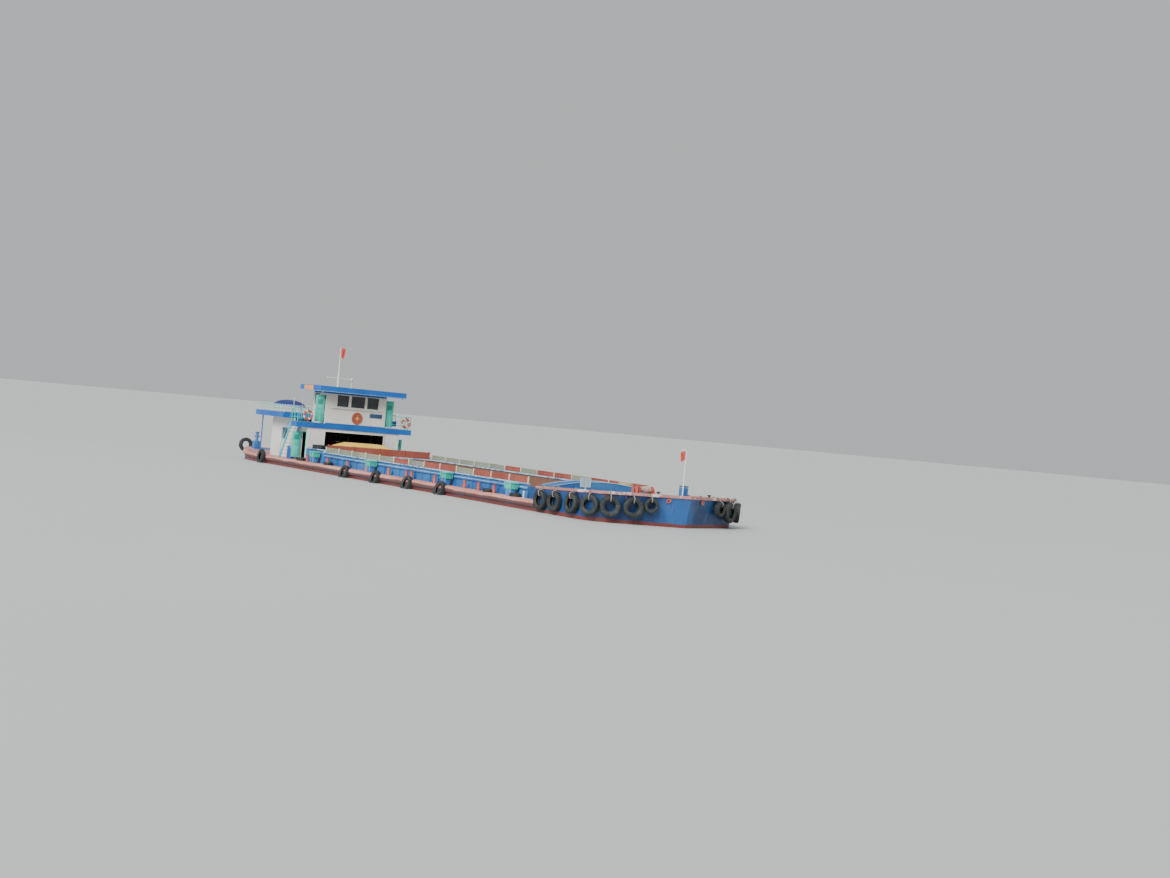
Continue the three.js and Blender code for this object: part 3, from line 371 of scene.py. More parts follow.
materials = {
    "hullSides": hullFinish("hull_paint", hullLook["deckPink"], tone(206, 158, 146), 3000),
    "hullBow": hullFinish("bow_paint", tone(172, 160, 150), tone(150, 104, 94), 3900),
    "coaming": simplePaint("coaming_paint", tone(36, 92, 158), tone(66, 128, 186), tone(38, 66, 104), streaks=0.45,
                           chips=0.69),
    "lightBlue": simplePaint("light_blue_paint", tone(122, 172, 204), tone(168, 202, 220), tone(70, 110, 150),
                             chips=0.64),
    "fascia": simplePaint("fascia_paint", tone(14, 82, 166), tone(24, 100, 184), tone(16, 62, 130), streaks=0.35,
                          chips=0.74),
    "white": simplePaint("wall_paint", tone(226, 226, 220), tone(208, 209, 204), tone(150, 146, 134), streaks=0.32,
                         chips=0.73, rough=(0.45, 0.7)),
    "turquoise": simplePaint("turquoise_paint", tone(44, 188, 168), tone(84, 208, 188), tone(34, 126, 120),
                             streaks=0.4, chips=0.7),
    "red": simplePaint("bitt_paint", tone(168, 70, 58), tone(190, 104, 86), tone(104, 50, 44), streaks=0.5,
                       chips=0.62),
    "pink": simplePaint("strake_paint", tone(192, 120, 106), tone(214, 160, 146), tone(132, 74, 66), streaks=0.5,
                        chips=0.62, rust=tone(126, 66, 56), rough=(0.55, 0.8)),
    "yellow": simplePaint("cover_paint", tone(240, 186, 52), tone(246, 206, 96), tone(178, 128, 46), chips=0.7),
    "boardRed": simplePaint("board_paint", tone(140, 62, 50), tone(160, 86, 70), tone(86, 48, 42), streaks=0.5,
                            chips=0.68, rough=(0.6, 0.85)),
    "boardGrey": simplePaint("grey_board_paint", tone(122, 130, 114), tone(146, 148, 128), tone(90, 84, 70),
                             streaks=0.5, chips=0.66, rough=(0.6, 0.85)),
    "postPale": simplePaint("post_paint", tone(190, 192, 166), tone(208, 204, 178), tone(126, 112, 90), chips=0.64,
                            rough=(0.6, 0.85)),
    "mastWhite": simplePaint("mast_paint", tone(206, 214, 206), tone(226, 228, 220), tone(130, 134, 124),
                             chips=0.66),
    "barrel": simplePaint("barrel_plastic", tone(24, 62, 140), tone(36, 80, 160), tone(20, 44, 96), streaks=0.25,
                          chips=0.9, rough=(0.3, 0.45)),
    "orange": simplePaint("orange_plate", tone(232, 142, 70), tone(242, 172, 110), tone(190, 112, 66), chips=0.8),
    "navy": simplePaint("navy_plate", tone(40, 72, 112), tone(52, 86, 126), tone(34, 54, 80), streaks=0.2,
                        chips=0.85),
    "black": simplePaint("black_fitting", tone(34, 36, 38), tone(52, 54, 56), tone(60, 56, 50), streaks=0.3,
                         chips=0.76),
    "steel": simplePaint("hold_floor_steel", tone(142, 124, 100), tone(120, 104, 86), tone(92, 76, 62),
                         streaks=0.2, chips=0.6, rough=(0.6, 0.9)),
    "engine": simplePaint("engine_paint", tone(84, 98, 90), tone(100, 114, 104), tone(52, 56, 50), chips=0.66),
    "antifouling": simplePaint("antifouling_paint", tone(122, 54, 46), tone(142, 74, 60), tone(76, 52, 46),
                               chips=0.7, rough=(0.6, 0.85)),
}


def tyreFinish():
    paint = Paint("tyre_rubber")
    base = paint.mix(paint.span(paint.noise(3, detail=5), 0.35, 0.7), tone(28, 32, 33), tone(52, 56, 55))
    dust = paint.span(paint.noise(11, detail=8, rough=0.7), 0.55, 0.68, (0, 0.7))
    base = paint.mix(dust, base, tone(96, 100, 90))
    paint.bump(paint.noise(60, detail=4), 0.35, 0.003)
    return paint.finish(base, (0.6, 0.88))


def glassFinish():
    paint = Paint("tinted_glass", roughness=0.06, coat=0.4)
    base = paint.mix(paint.span(paint.noise(1.2, detail=3), 0.35, 0.7), tone(24, 30, 36), tone(44, 52, 58))
    paint.put(base, paint.shader.inputs["Base Color"])
    paint.wire(paint.span(paint.noise(9, detail=6), 0.4, 0.75, (0.04, 0.22)), paint.shader.inputs["Roughness"])
    return paint.material


def bronzeFinish():
    paint = Paint("cast_bronze", metallic=0.85)
    base = paint.mix(paint.span(paint.noise(6, detail=6), 0.4, 0.65), tone(160, 126, 62), tone(96, 108, 78))
    paint.bump(paint.noise(30), 0.2, 0.002)
    return paint.finish(base, (0.3, 0.55))


def ropeFinish():
    paint = Paint("rope_fibre")
    base = paint.mix(paint.noise(40, detail=5), tone(222, 202, 152), tone(186, 160, 112))
    base = paint.mix(paint.span(paint.noise(5, detail=5), 0.5, 0.7, (0, 0.6)), base, tone(140, 116, 80))
    paint.shader.inputs["Sheen Weight"].default_value = 0.3
    paint.bump(paint.noise(160, detail=3), 0.5, 0.002)
    return paint.finish(base, (0.8, 0.95))


def lashingFinish(name, pale, dark):
    paint = Paint(name)
    base = paint.mix(paint.noise(30, detail=5), pale, dark)
    paint.bump(paint.noise(150, detail=3), 0.5, 0.002)
    return paint.finish(base, (0.8, 0.95))


def clothFinish(name, colour, shade, light):
    paint = Paint(name)
    weaveX = paint.noise(1, (900, 60, 60), detail=1)
    weaveY = paint.noise(1, (60, 900, 60), detail=1)
    weave = paint.sum("ADD", weaveX, weaveY)
    base = paint.mix(paint.span(paint.noise(4, detail=5), 0.35, 0.65), colour, shade)
    base = paint.mix(paint.span(weave, 0.7, 1.3, (0, 0.35)), base, light)
    paint.shader.inputs["Sheen Weight"].default_value = 0.12
    paint.bump(weave, 0.3, 0.001)
    return paint.finish(base, (0.7, 0.9))


# The strake is darker along its lower half
darkerLowerStrake = {"below": 2840, "fade": 40}


def strakeFinish():
    paint = Paint("fender_strake_paint")
    base = paint.worn(tone(190, 118, 104), tone(212, 158, 144), tone(130, 74, 66), streaks=0.5, chips=0.63)
    level = paint.sum("ADD", paint.parts.outputs["Z"], paint.span(paint.noise(1.3, detail=7), 0, 1, (-0.05, 0.05)))
    # the darker colour for the strake's lower half, below a wavering level
    darkerLower = paint.mix(paint.noise(6, detail=7), tone(84, 58, 62), tone(112, 74, 70))
    low, high = darkerLowerStrake["below"], darkerLowerStrake["below"] + darkerLowerStrake["fade"]
    return paint.finish(paint.mix(paint.span(level, low * mm, high * mm), darkerLower, base), (0.55, 0.8))


materials["strake"] = strakeFinish()
materials["paneGreen"] = simplePaint("door_pane_paint", tone(30, 134, 124), tone(48, 156, 142), tone(24, 92, 92))
materials["tyre"] = tyreFinish()
materials["glass"] = glassFinish()
materials["bronze"] = bronzeFinish()
materials["rope"] = ropeFinish()
materials["lashing"] = lashingFinish("lashing_fibre", tone(208, 200, 190), tone(150, 138, 130))
materials["oldRope"] = lashingFinish("old_rope_fibre", tone(74, 70, 62), tone(40, 40, 38))
materials["canopyCloth"] = clothFinish("canopy_cloth", tone(12, 40, 112), tone(8, 28, 84), tone(24, 56, 130))
materials["canopyEdge"] = clothFinish("canopy_edge", tone(150, 184, 214), tone(120, 156, 196), tone(196, 212, 226))
materials["flagCloth"] = clothFinish("flag_cloth", tone(206, 62, 54), tone(170, 44, 42), tone(226, 104, 86))
print("materials mixed")


# Mooring rope, coiled on the breakwater's vault
ropeCoil = {"x": 15700, "y": 1920, "z": 4006, "slope": 0.1425, "diameter": 40, "layers": 5, "rings": 6,
            "middle": 320, "perTurn": 24, "spacing": 1.04, "layerRise": 1.02}
ropeLay = {"length": 5.5, "sides": 9, "core": 0.46, "strands": 0.04}  # as shares of the rope's diameter


def coilPath():
    points = []
    d, rings, perTurn = ropeCoil["diameter"], ropeCoil["rings"], ropeCoil["perTurn"]
    for layer in range(ropeCoil["layers"]):
        inward = layer % 2 == 1
        for ring in range(rings):
            start = rings - 1 - ring if inward else ring
            step = -1 if inward else 1
            last = ring == rings - 1
            for i in range(perTurn):
                share = i / perTurn
                climb = max(0.0, (share - 0.75) * 4) if last else 0.0
                grow = 0.0 if last else share * step
                radius = ropeCoil["middle"] + (start + grow - (rings - 1) / 2) * d * ropeCoil["spacing"]
                angle = 2 * math.pi * share
                if layer == ropeCoil["layers"] - 1:
                    climb = 0.0
                height = (layer + 0.5 + climb) * d * ropeCoil["layerRise"]
                points.append((radius * math.cos(angle), radius * math.sin(angle), height))
    return points


# Three strands laid round each other, as a swell that runs round the rope
def laidRope(name, points, diameter, material, placing):
    places = [Vector(metres(p)) for p in points]
    lay, sides, finePoints = ropeLay["length"] * diameter * mm, ropeLay["sides"], []
    for a, b in zip(places, places[1:]):
        pieces = max(1, round((b - a).length / (lay / 4)))
        finePoints += [a.lerp(b, k / pieces) for k in range(pieces)]
    finePoints.append(places[-1])
    rows, faces, run = [], [], 0.0
    for k, place in enumerate(finePoints):
        ahead = finePoints[min(k + 1, len(finePoints) - 1)] - finePoints[max(k - 1, 0)]
        across = ahead.cross(Vector((0, 0, 1))).normalized()
        up = across.cross(ahead).normalized()
        if k:
            run += (place - finePoints[k - 1]).length
        for s in range(sides):
            angle = 2 * math.pi * s / sides
            swell = ropeLay["core"] + ropeLay["strands"] * math.cos(3 * (angle + 2 * math.pi * run / (3 * lay)))
            rows.append(place + (across * math.cos(angle) + up * math.sin(angle)) * diameter * mm * swell)
        if k:
            for s in range(sides):
                a, b = (k - 1) * sides + s, (k - 1) * sides + (s + 1) % sides
                faces.append((a, a + sides, b + sides, b))
    faces.append(tuple(range(sides)))
    faces.append(tuple(reversed(range((len(finePoints) - 1) * sides, len(finePoints) * sides))))
    data = bpy.data.meshes.new(name)
    data.from_pydata([placing @ row for row in rows], [], faces)
    obj = bpy.data.objects.new(name, data)
    bpy.context.collection.objects.link(obj)
    return dress(cleaned(obj), material)


coilTurn = turning((0, ropeCoil["slope"], 1), (ropeCoil["x"], ropeCoil["y"], ropeCoil["z"]))
coilPoints = coilPath()
mooringRope = laidRope("mooring_rope", coilPoints, ropeCoil["diameter"], "rope", coilTurn)
ready("mooring_rope", [mooringRope], standsFor=["mooring_rope_coil"], smooth=60)


# Floor at the waterline, pale surroundings, soft light
studio = {"waterline": 2450, "floorSize": 900, "floorTone": tone(206, 208, 206), "floorShade": tone(200, 203, 202),
          "sky": tone(222, 226, 228), "skyStrength": 0.72}
sun = {"turn": (57, 0, 33), "energy": 4.2, "spread": 30}
softLamp = {"place": (20, -30, 24), "turn": (55, 0, 35), "energy": 1500, "size": 24}

clearSelection()
bpy.ops.mesh.primitive_plane_add(size=studio["floorSize"], location=(0, 0, studio["waterline"] * mm))
floor = settle(bpy.context.object)
floor.name = "floor"
floorPaint = Paint("floor_matt", roughness=0.55)
floorPaint.put(floorPaint.mix(floorPaint.noise(0.2, detail=2), studio["floorTone"], studio["floorShade"]),
               floorPaint.shader.inputs["Base Color"])
dress(floor, floorPaint.material)

world = bpy.data.worlds.new("pale_surroundings")
world.use_nodes = True
world.node_tree.nodes["Background"].inputs["Color"].default_value = studio["sky"]
world.node_tree.nodes["Background"].inputs["Strength"].default_value = studio["skyStrength"]
bpy.context.scene.world = world

clearSelection()
bpy.ops.object.light_add(type="SUN", rotation=[math.radians(a) for a in sun["turn"]])
bpy.context.object.data.energy = sun["energy"]
bpy.context.object.data.angle = math.radians(sun["spread"])
bpy.ops.object.light_add(type="AREA", location=softLamp["place"],
                         rotation=[math.radians(a) for a in softLamp["turn"]])
bpy.context.object.data.energy = softLamp["energy"]
bpy.context.object.data.size = softLamp["size"]
print("floor and light set")


# White paint outside; inside the box, which is the inner room, dark browns in uneven bands as painted shade
def cabinFinish(name, low, high):
    paint = Paint(name)
    base = paint.worn(tone(228, 228, 222), tone(210, 211, 206), tone(150, 146, 134), streaks=0.34, chips=0.735)
    # Painted shade: the inner room's faces get dark browns that stand for the shade inside the house
    panels = paint.span(paint.noise(1, (0.6, 0.6, 22), detail=5), 0.35, 0.65)
    inside = paint.mix(panels, tone(62, 48, 38), tone(44, 36, 31))
    mask = 1.0
    for axis, a, b in zip("XYZ", low, high):
        at = paint.parts.outputs[axis]
        mask = paint.sum("MULTIPLY", mask, paint.sum("GREATER_THAN", at, a * mm))
        mask = paint.sum("MULTIPLY", mask, paint.sum("LESS_THAN", at, b * mm))
    return paint.finish(paint.mix(mask, base, inside), (0.45, 0.7))


# Both materials carry painted shade on the inner walls of their house
materials["houseWhiteAndInnerShade"] = cabinFinish("house_wall_paint_and_painted_inner_shade", (-19945, -3445, 2990), (-14055, 3445, 5800))
materials["wheelWhiteAndInnerShade"] = cabinFinish("wheelhouse_wall_paint_and_painted_inner_shade", (-16095, -2220, 5600), (-14055, 2220, 7700))

# CAD nodes that keep their shape get their paint
nodePaints = {
    "hullSides": ["hull_side_starboard", "hull_side_port", "hull_stern"],
    "hullBow": ["hull_bow"],
    "steel": ["hull_hold_floor"],
    "coaming": ["foredeck_breakwater", "foredeck_locker", "skylight_coaming"],
    "wheelWhiteAndInnerShade": ["wheelhouse_front", "wheelhouse_aft", "wheelhouse_side_starboard", "wheelhouse_side_port"],
    "houseWhiteAndInnerShade": ["house_front", "house_aft", "house_side_starboard", "house_side_port"],
    "boardRed": ["washboard_aft", "helm_console"],
    "navy": ["foredeck_locker_lid"],
    "red": ["windlass_frame", "windlass_drum"],
    "glass": ["wheelhouse_glass"],
    "engine": ["engine_starboard", "engine_port"],
    "bronze": ["propeller_starboard", "propeller_port"],
    "antifouling": ["rudder_starboard", "rudder_port"],
}
for key, names in nodePaints.items():
    for name in names:
        dress(nodes[name], key)

# Coaming: scuffed sides, a pale edge on the flange, a rusty lining inside the hold
coamingLook = {"outerY": 4013, "innerY": 3952, "aftX": -10055, "flangeZ": 3735, "liningZ": 3720,
               "scuffs": (3440, 3500)}


def coamingFinish():
    paint = Paint("coaming_side_paint")
    z = paint.parts.outputs["Z"]
    base = paint.worn(tone(36, 92, 158), tone(60, 122, 184), tone(34, 58, 96), streaks=0.5, chips=0.68)
    scuffs = paint.span(paint.noise(1, (3, 3, 40), detail=6), 0.56, 0.66, (0, 0.6))
    high = paint.span(z, coamingLook["scuffs"][0] * mm, coamingLook["scuffs"][1] * mm)
    base = paint.mix(paint.sum("MULTIPLY", scuffs, high), base, tone(150, 186, 212))
    edge = paint.mix(paint.span(paint.noise(6, detail=8), 0.5, 0.62), tone(176, 204, 222), tone(84, 130, 178))
    offMiddle = paint.sum("ABSOLUTE", paint.parts.outputs["Y"])
    outer = paint.sum("GREATER_THAN", offMiddle, coamingLook["outerY"] * mm)
    alongHold = paint.sum("GREATER_THAN", paint.parts.outputs["X"], coamingLook["aftX"] * mm)
    onFlange = paint.sum("GREATER_THAN", z, coamingLook["flangeZ"] * mm)
    base = paint.mix(paint.sum("MULTIPLY", onFlange, paint.sum("MAXIMUM", outer, alongHold)), base, edge)
    inside = paint.sum("LESS_THAN", offMiddle, coamingLook["innerY"] * mm)
    low = paint.sum("MULTIPLY", paint.sum("LESS_THAN", z, coamingLook["liningZ"] * mm), alongHold)
    lining = paint.mix(paint.noise(5, detail=7), tone(134, 92, 74), tone(98, 70, 60))
    return paint.finish(paint.mix(paint.sum("MULTIPLY", inside, low), base, lining))


coamingPaint = coamingFinish()
for name in ("coaming_starboard", "coaming_port", "coaming_aft"):
    dress(nodes[name], coamingPaint)


# Decks and roofs: blue fascias, paler walking surface and ceiling
def platformFinish(name, topTone, underTone):
    paint = Paint(name)
    up = paint.facing.outputs["Z"]
    base = paint.worn(tone(14, 82, 166), tone(26, 104, 188), tone(18, 64, 132), streaks=0.3, chips=0.75)
    deck = paint.mix(paint.span(paint.noise(4, detail=7), 0.4, 0.62), topTone, dirt)
    under = paint.mix(paint.span(paint.noise(3, detail=5), 0.45, 0.7), underTone, tone(150, 146, 136))
    base = paint.mix(paint.sum("GREATER_THAN", up, 0.8), base, deck)
    return paint.finish(paint.mix(paint.sum("LESS_THAN", up, -0.8), base, under))


deckPaint = platformFinish("upper_deck_paint", tone(126, 144, 158), tone(214, 214, 208))
for name in ("upper_deck", "aft_roof", "wheelhouse_roof"):
    dress(nodes[name], deckPaint)


# Stair: turquoise strings and rails, white treads between them
stairLook = {"middleY": -3970, "treadHalf": 308}


def stairFinish():
    paint = Paint("stair_paint")
    base = paint.worn(tone(44, 152, 176), tone(84, 186, 198), tone(34, 104, 124), streaks=0.4, chips=0.68)
    off = paint.sum("ABSOLUTE", paint.sum("SUBTRACT", paint.parts.outputs["Y"], stairLook["middleY"] * mm))
    tread = paint.sum("LESS_THAN", off, stairLook["treadHalf"] * mm)
    pale = paint.mix(paint.noise(10, detail=6), tone(226, 230, 226), tone(170, 172, 164))
    return paint.finish(paint.mix(tread, base, pale))


boardFace = simplePaint("board_face", tone(150, 186, 200), tone(176, 204, 212), tone(96, 120, 130))
dress(nodes["stair"], stairFinish())
dress(nodes["foredeck_board"], boardFace)
print("solids painted")


# Tyres: a hollow carcass with beads, rounded shoulders and tread lugs, modelled once
tyreShape = {"radius": 525, "half": 150, "bead": 275, "lugs": 30, "lugHeight": 0.026, "treadFrom": 0.93,
             "treadHalf": 0.82, "ribHalf": 0.45}


def masterTyre():
    r, w, bead = tyreShape["radius"], tyreShape["half"], tyreShape["bead"]
    outside = [(bead, w * 0.62), (bead + 16, w * 0.78), (r * 0.66, w * 0.93), (r * 0.78, w), (r * 0.88, w * 0.97),
               (r * 0.94, w * 0.86), (r * 0.965, w * 0.68), (r * 0.972, w * 0.3)]
    inside = [(r * 0.9, w * 0.3), (r * 0.89, w * 0.66), (r * 0.8, w * 0.82), (r * 0.68, w * 0.78),
              (bead + 22, w * 0.5)]
    ring = outside + [(a, -b) for a, b in reversed(outside)]  # from one face over the tread to the other
    hollow = [(a, -b) for a, b in reversed(inside)] + inside  # and back through the inside
    obj = turned(ring + hollow + [outside[0]], (0, 0, 0), "tyre", steps=tyreShape["lugs"] * 2)

    def isLug(face):
        out = math.hypot(face.center.x, face.center.y) / mm
        angle = math.atan2(face.center.y, face.center.x) % (2 * math.pi)
        sector = int(angle / (math.pi / tyreShape["lugs"]))
        row = abs(face.center.z) / mm / w
        onTread = out > r * tyreShape["treadFrom"] and row < tyreShape["treadHalf"]
        return onTread and (sector + (row > tyreShape["ribHalf"])) % 2 == 0

    return raiseFaces(obj, isLug, r * tyreShape["lugHeight"])


tyreModel = masterTyre()


def hungTyre(centre, axis, diameter, width, spin):
    across = diameter / (2 * tyreShape["radius"])
    size = Matrix.Diagonal((across, across, width / (2 * tyreShape["half"]), 1))
    return copied(tyreModel, turning(axis, centre) @ Matrix.Rotation(spin, 4, "Z") @ size)


# Hull lines, as in the drawing
bow = {"sweep": math.radians(20), "stemX": 24000 - 60 / math.cos(math.radians(20)), "shoulder": 21100, "half": 4750,
       "aftX": 17050, "deckZ": 3720, "rise": 0.042}


def foredeckZ(x):
    return bow["deckZ"] + (x - bow["aftX"]) * bow["rise"]


# The foredeck's starboard edge, from aft to the stem
def bowEdge(steps=14):
    corner = bow["stemX"] - bow["half"] * math.tan(bow["sweep"])
    turn = math.pi / 2 - bow["sweep"]
    radius = (corner - bow["shoulder"]) / math.tan(turn / 2)
    points = [(bow["aftX"], -bow["half"])]
    for i in range(steps + 1):
        angle = turn * i / steps
        points.append((bow["shoulder"] + radius * math.sin(angle),
                       -(bow["half"] - radius) - radius * math.cos(angle)))
    points.append((bow["stemX"], 0))
    return [(x, y, foredeckZ(x)) for x, y in points]


# The place on the edge that far from the stem, and the way outboard from it
def fromStem(edge, distance, sign):
    left, i = distance, len(edge) - 1
    while left > (Vector(edge[i]) - Vector(edge[i - 1])).length:
        left -= (Vector(edge[i]) - Vector(edge[i - 1])).length
        i -= 1
    here, back = Vector(edge[i]), Vector(edge[i - 1])
    run = (here - back).normalized()
    at, out = here.lerp(back, left / (here - back).length), Vector((run.y, -run.x, 0)).normalized()
    if sign > 0:
        at.y, out.y = -at.y, -out.y
    return at, out


# A starboard path, or its mirror run the other way, so that a section's first number points outboard
def starboardOrPort(path, sign):
    return path if sign < 0 else [(x, -y, z) for x, y, z in reversed(path)]


# Fender strake along the low deck, with tyres that lean on it and one on each quarter
strake = {"path": [(-23480, -3689, 3307), (-23200, -4000, 3270), (-22200, -4450, 3150), (-20800, -4690, 3040),
                   (-20100, -4750, 3000), (17050, -4750, 3000)],
          "section": [(2, -338), (60, -334), (112, -306), (142, -258), (150, -190), (148, -120), (132, -60),
                      (100, -16), (60, 4), (2, 10)],
          "ropeRadius": 15}
leaningTyres = {"x": [-4920, -670, 3410, 7360], "y": 4985, "z": 2760, "lean": 0.35, "diameter": 978, "width": 256,
                "rope": [(40, 4560, 3030), (20, 4720, 3060), (0, 4830, 3130), (0, 4960, 3190), (0, 5060, 3100),
                         (0, 5050, 2990)]}
quarterTyres = {"x": [-17950], "y": 5030, "z": 2880, "lean": 0.1, "diameter": 1000, "width": 260, "spin": 1.0,
                "rope": [(0, 4600, 3030), (0, 4800, 3250), (0, 4960, 3390), (0, 5110, 3380), (0, 5160, 3240),
                         (0, 5120, 3080)]}


def makeStrakes():
    for side, sign in sideSigns.items():
        bar = swept(starboardOrPort(strake["path"], sign), strake["section"], "strake")
        ready(f"strake_{side}", [bar], standsFor=[f"fender_strake_{side}"], smooth=40)
        tyres, ropes = [], []
        for row in (leaningTyres, quarterTyres):
            for x in row["x"]:
                spin = row["spin"] if "spin" in row else random.uniform(0, 6)
                tyres.append(hungTyre((x, sign * row["y"], row["z"]), (0, sign, row["lean"]), row["diameter"],
                                      row["width"], spin))
                ropes.append(tube([(x + dx, sign * y, z) for dx, y, z in row["rope"]], strake["ropeRadius"],
                                  "oldRope", sides=8))
        ready(f"side_tyres_{side}", tyres, smooth=40)
        ready(f"side_tyre_ropes_{side}", ropes, smooth=60)


makeStrakes()
print("strakes and leaning tyres")


# Foredeck edge rail and the tyres hung on it, each with a pale and an old lashing
bowHang = {"starboard": [2090, 3010, 4170, 5110, 6340, 7900, 9200],
           "port": [2650, 3700, 4780, 5900, 7100, 8200, 9250],
           "drop": 130, "clear": 175, "firstDiameter": 760, "diameter": 1050, "width": 292, "rope": 15, "reach": 325,
           "rail": [(1, -90), (40, -84), (58, -66), (60, 30), (48, 58), (20, 70), (-50, 70), (-60, 60), (-60, 2),
                    (1, 2)]}


def railFinish():
    paint = Paint("rail_paint")
    base = paint.worn(tone(148, 90, 86), tone(182, 134, 128), tone(104, 62, 60), streaks=0.4, chips=0.62)
    bare = paint.span(paint.noise(2.6, detail=7, rough=0.65), 0.57, 0.62, (0, 0.85))
    return paint.finish(paint.mix(bare, base, tone(216, 206, 202)), (0.5, 0.8))


# A loop over the rail and through the tyre, as (outboard, up) points
def tyreLashing(at, out, diameter, material):
    top, far = -bowHang["drop"], bowHang["reach"]
    low = top - diameter * 0.255
    middle = (top + low) / 2
    loop = [(-95, 8), (-84, 60), (-50, 92), (20, 92), (72, 66), (100, 0), (150, top + 42), (235, top + 20),
            (far + 8, top - 40), (far + 20, middle), (far - 30, low - 16), (180, low - 32), (50, low - 8),
            (14, middle), (30, top - 10), (110, top + 26)]
    points = [Vector((0, 0, b)) + at + out * a for a, b in loop]
    return tube([tuple(p) for p in points], bowHang["rope"], material, sides=8)


def makeBowFenders():
    railPaint = railFinish()
    for side, sign in sideSigns.items():
        edge = bowEdge()
        path = edge[:-1] + [(bow["stemX"] - 2, -1, foredeckZ(bow["stemX"]))]
        rail = swept(starboardOrPort(path, sign), bowHang["rail"], railPaint)
        ready(f"foredeck_rail_{side}", [rail], smooth=40)
        tyres, ropes = [], []
        for i, distance in enumerate(bowHang[side]):
            at, out = fromStem(edge, distance, sign)
            diameter = bowHang["diameter"] if i else bowHang["firstDiameter"]
            centre = at + out * bowHang["clear"] - Vector((0, 0, diameter / 2 + bowHang["drop"]))
            lean = Vector((out.x, out.y, random.uniform(-0.04, 0.06)))
            tyres.append(hungTyre(tuple(centre), tuple(lean), diameter - 8, bowHang["width"], random.uniform(0, 6)))
            ropes.append(tyreLashing(at, out, diameter, "lashing"))
            beside = at + out.cross(Vector((0, 0, 1))) * 42
            ropes.append(tyreLashing(beside, out, diameter - 14, "oldRope"))
        ready(f"bow_tyres_{side}", tyres, standsFor=[f"bow_fenders_{side}"], smooth=40)
        ready(f"bow_tyre_ropes_{side}", ropes, smooth=60)


makeBowFenders()
print("foredeck rail and hung tyres")


# Stern rub rail and its corner tyres
stern = {"rail": ((-23770, -3450, 2980), (-23651, 3450, 3230)), "tyre": (-23852, 3760, 3430), "diameter": 1036,
         "width": 262, "spin": 0.4, "ropeRadius": 17,
         "rope": [(-23500, -300, 3345), (-23610, -250, 3560), (-23680, -160, 3760), (-23850, -60, 3965),
                  (-23972, 0, 3900), (-23974, 0, 3720), (-23850, 0, 3660)]}


def makeSternFenders():
    ready("stern_rail", [block(*stern["rail"], "pink", 40)])
    tyres, ropes = [], []
    for sign in (-1, 1):
        x, y, z = stern["tyre"][0], sign * stern["tyre"][1], stern["tyre"][2]
        tyres.append(hungTyre((x, y, z), (1, 0, 0.02), stern["diameter"], stern["width"], stern["spin"]))
        ropes.append(tube([(a, y + sign * b, c) for a, b, c in stern["rope"]], stern["ropeRadius"], "oldRope",
                          sides=8))
    ready("stern_tyres", tyres, standsFor=["stern_fenders"], smooth=40)
    ready("stern_tyre_ropes", ropes, smooth=60)


makeSternFenders()


# Low side deck: walkway plate, bitts, ventilators, spare tyres
sideDeck = {"plate": ((-13400, 4115, 3001), (17030, 4720, 3014)), "middleY": 4417.5, "top": 3014,
            "bittX": [-11700, -8600, -5670, -3050, -40, 2270, 2900, 5690, 9140, 10680, 12330],
            "ventX": [-10650, -2440, 7030, 14060],
            "tyreX": [-12570, -8380, 11800, 14590], "tyreZ": 3110, "tyreSize": (620, 188),
            "trunkTyre": (-11300, -3750, 4061), "trunkTyreSize": (1046, 258)}
ventilator = {"tiers": [(230, 160, 3014, 3424, "coaming", 30), (300, 200, 3378, 3420, "turquoise", 12),
                        (290, 200, 3420, 3690, "turquoise", 14), (370, 270, 3692, 3718, "turquoise", 12),
                        (350, 250, 3716, 3750, "turquoise", 16)],
              "slats": 5, "slatZ": 3424, "slatPitch": 54, "slatHeight": 16, "slatReach": (318, 228),
              "legs": (190, 168)}


def makeBitt():
    post = turned([(0, 0), (128, 0), (128, 14), (84, 22), (80, 30), (80, 404), (88, 412), (96, 420), (96, 446),
                   (86, 452), (0, 456)], (0, 0, sideDeck["top"]), "red", steps=20)
    bar = turned([(0, -192), (36, -192), (36, -180), (28, -174), (28, 174), (36, 180), (36, 192), (0, 192)],
                 (0, 0, sideDeck["top"] + 150), "red", axis=(1, 0, 0), steps=12)
    return joined([post, bar])


def makeVentilator():
    reach, half = ventilator["slatReach"]
    tiers = list(ventilator["tiers"])
    for k in range(ventilator["slats"]):
        z = ventilator["slatZ"] + k * ventilator["slatPitch"]
        tiers.append((reach, half, z, z + ventilator["slatHeight"], "turquoise", 4))
    parts = [block((-a, -b, z0), (a, b, z1), paint, bevel) for a, b, z0, z1, paint, bevel in tiers]
    for x in (-reach, reach):
        for y in (-half, half):
            parts.append(block((x - 12, y - 12, 3410), (x + 12, y + 12, 3694), "turquoise", 5))
    legX, legY = ventilator["legs"]
    for x in (-legX, legX):
        for y in (-legY, legY):
            parts.append(tube([(x, y, 3020), (x, y, 3378)], 11, "lightBlue", sides=6))
    return joined(parts)


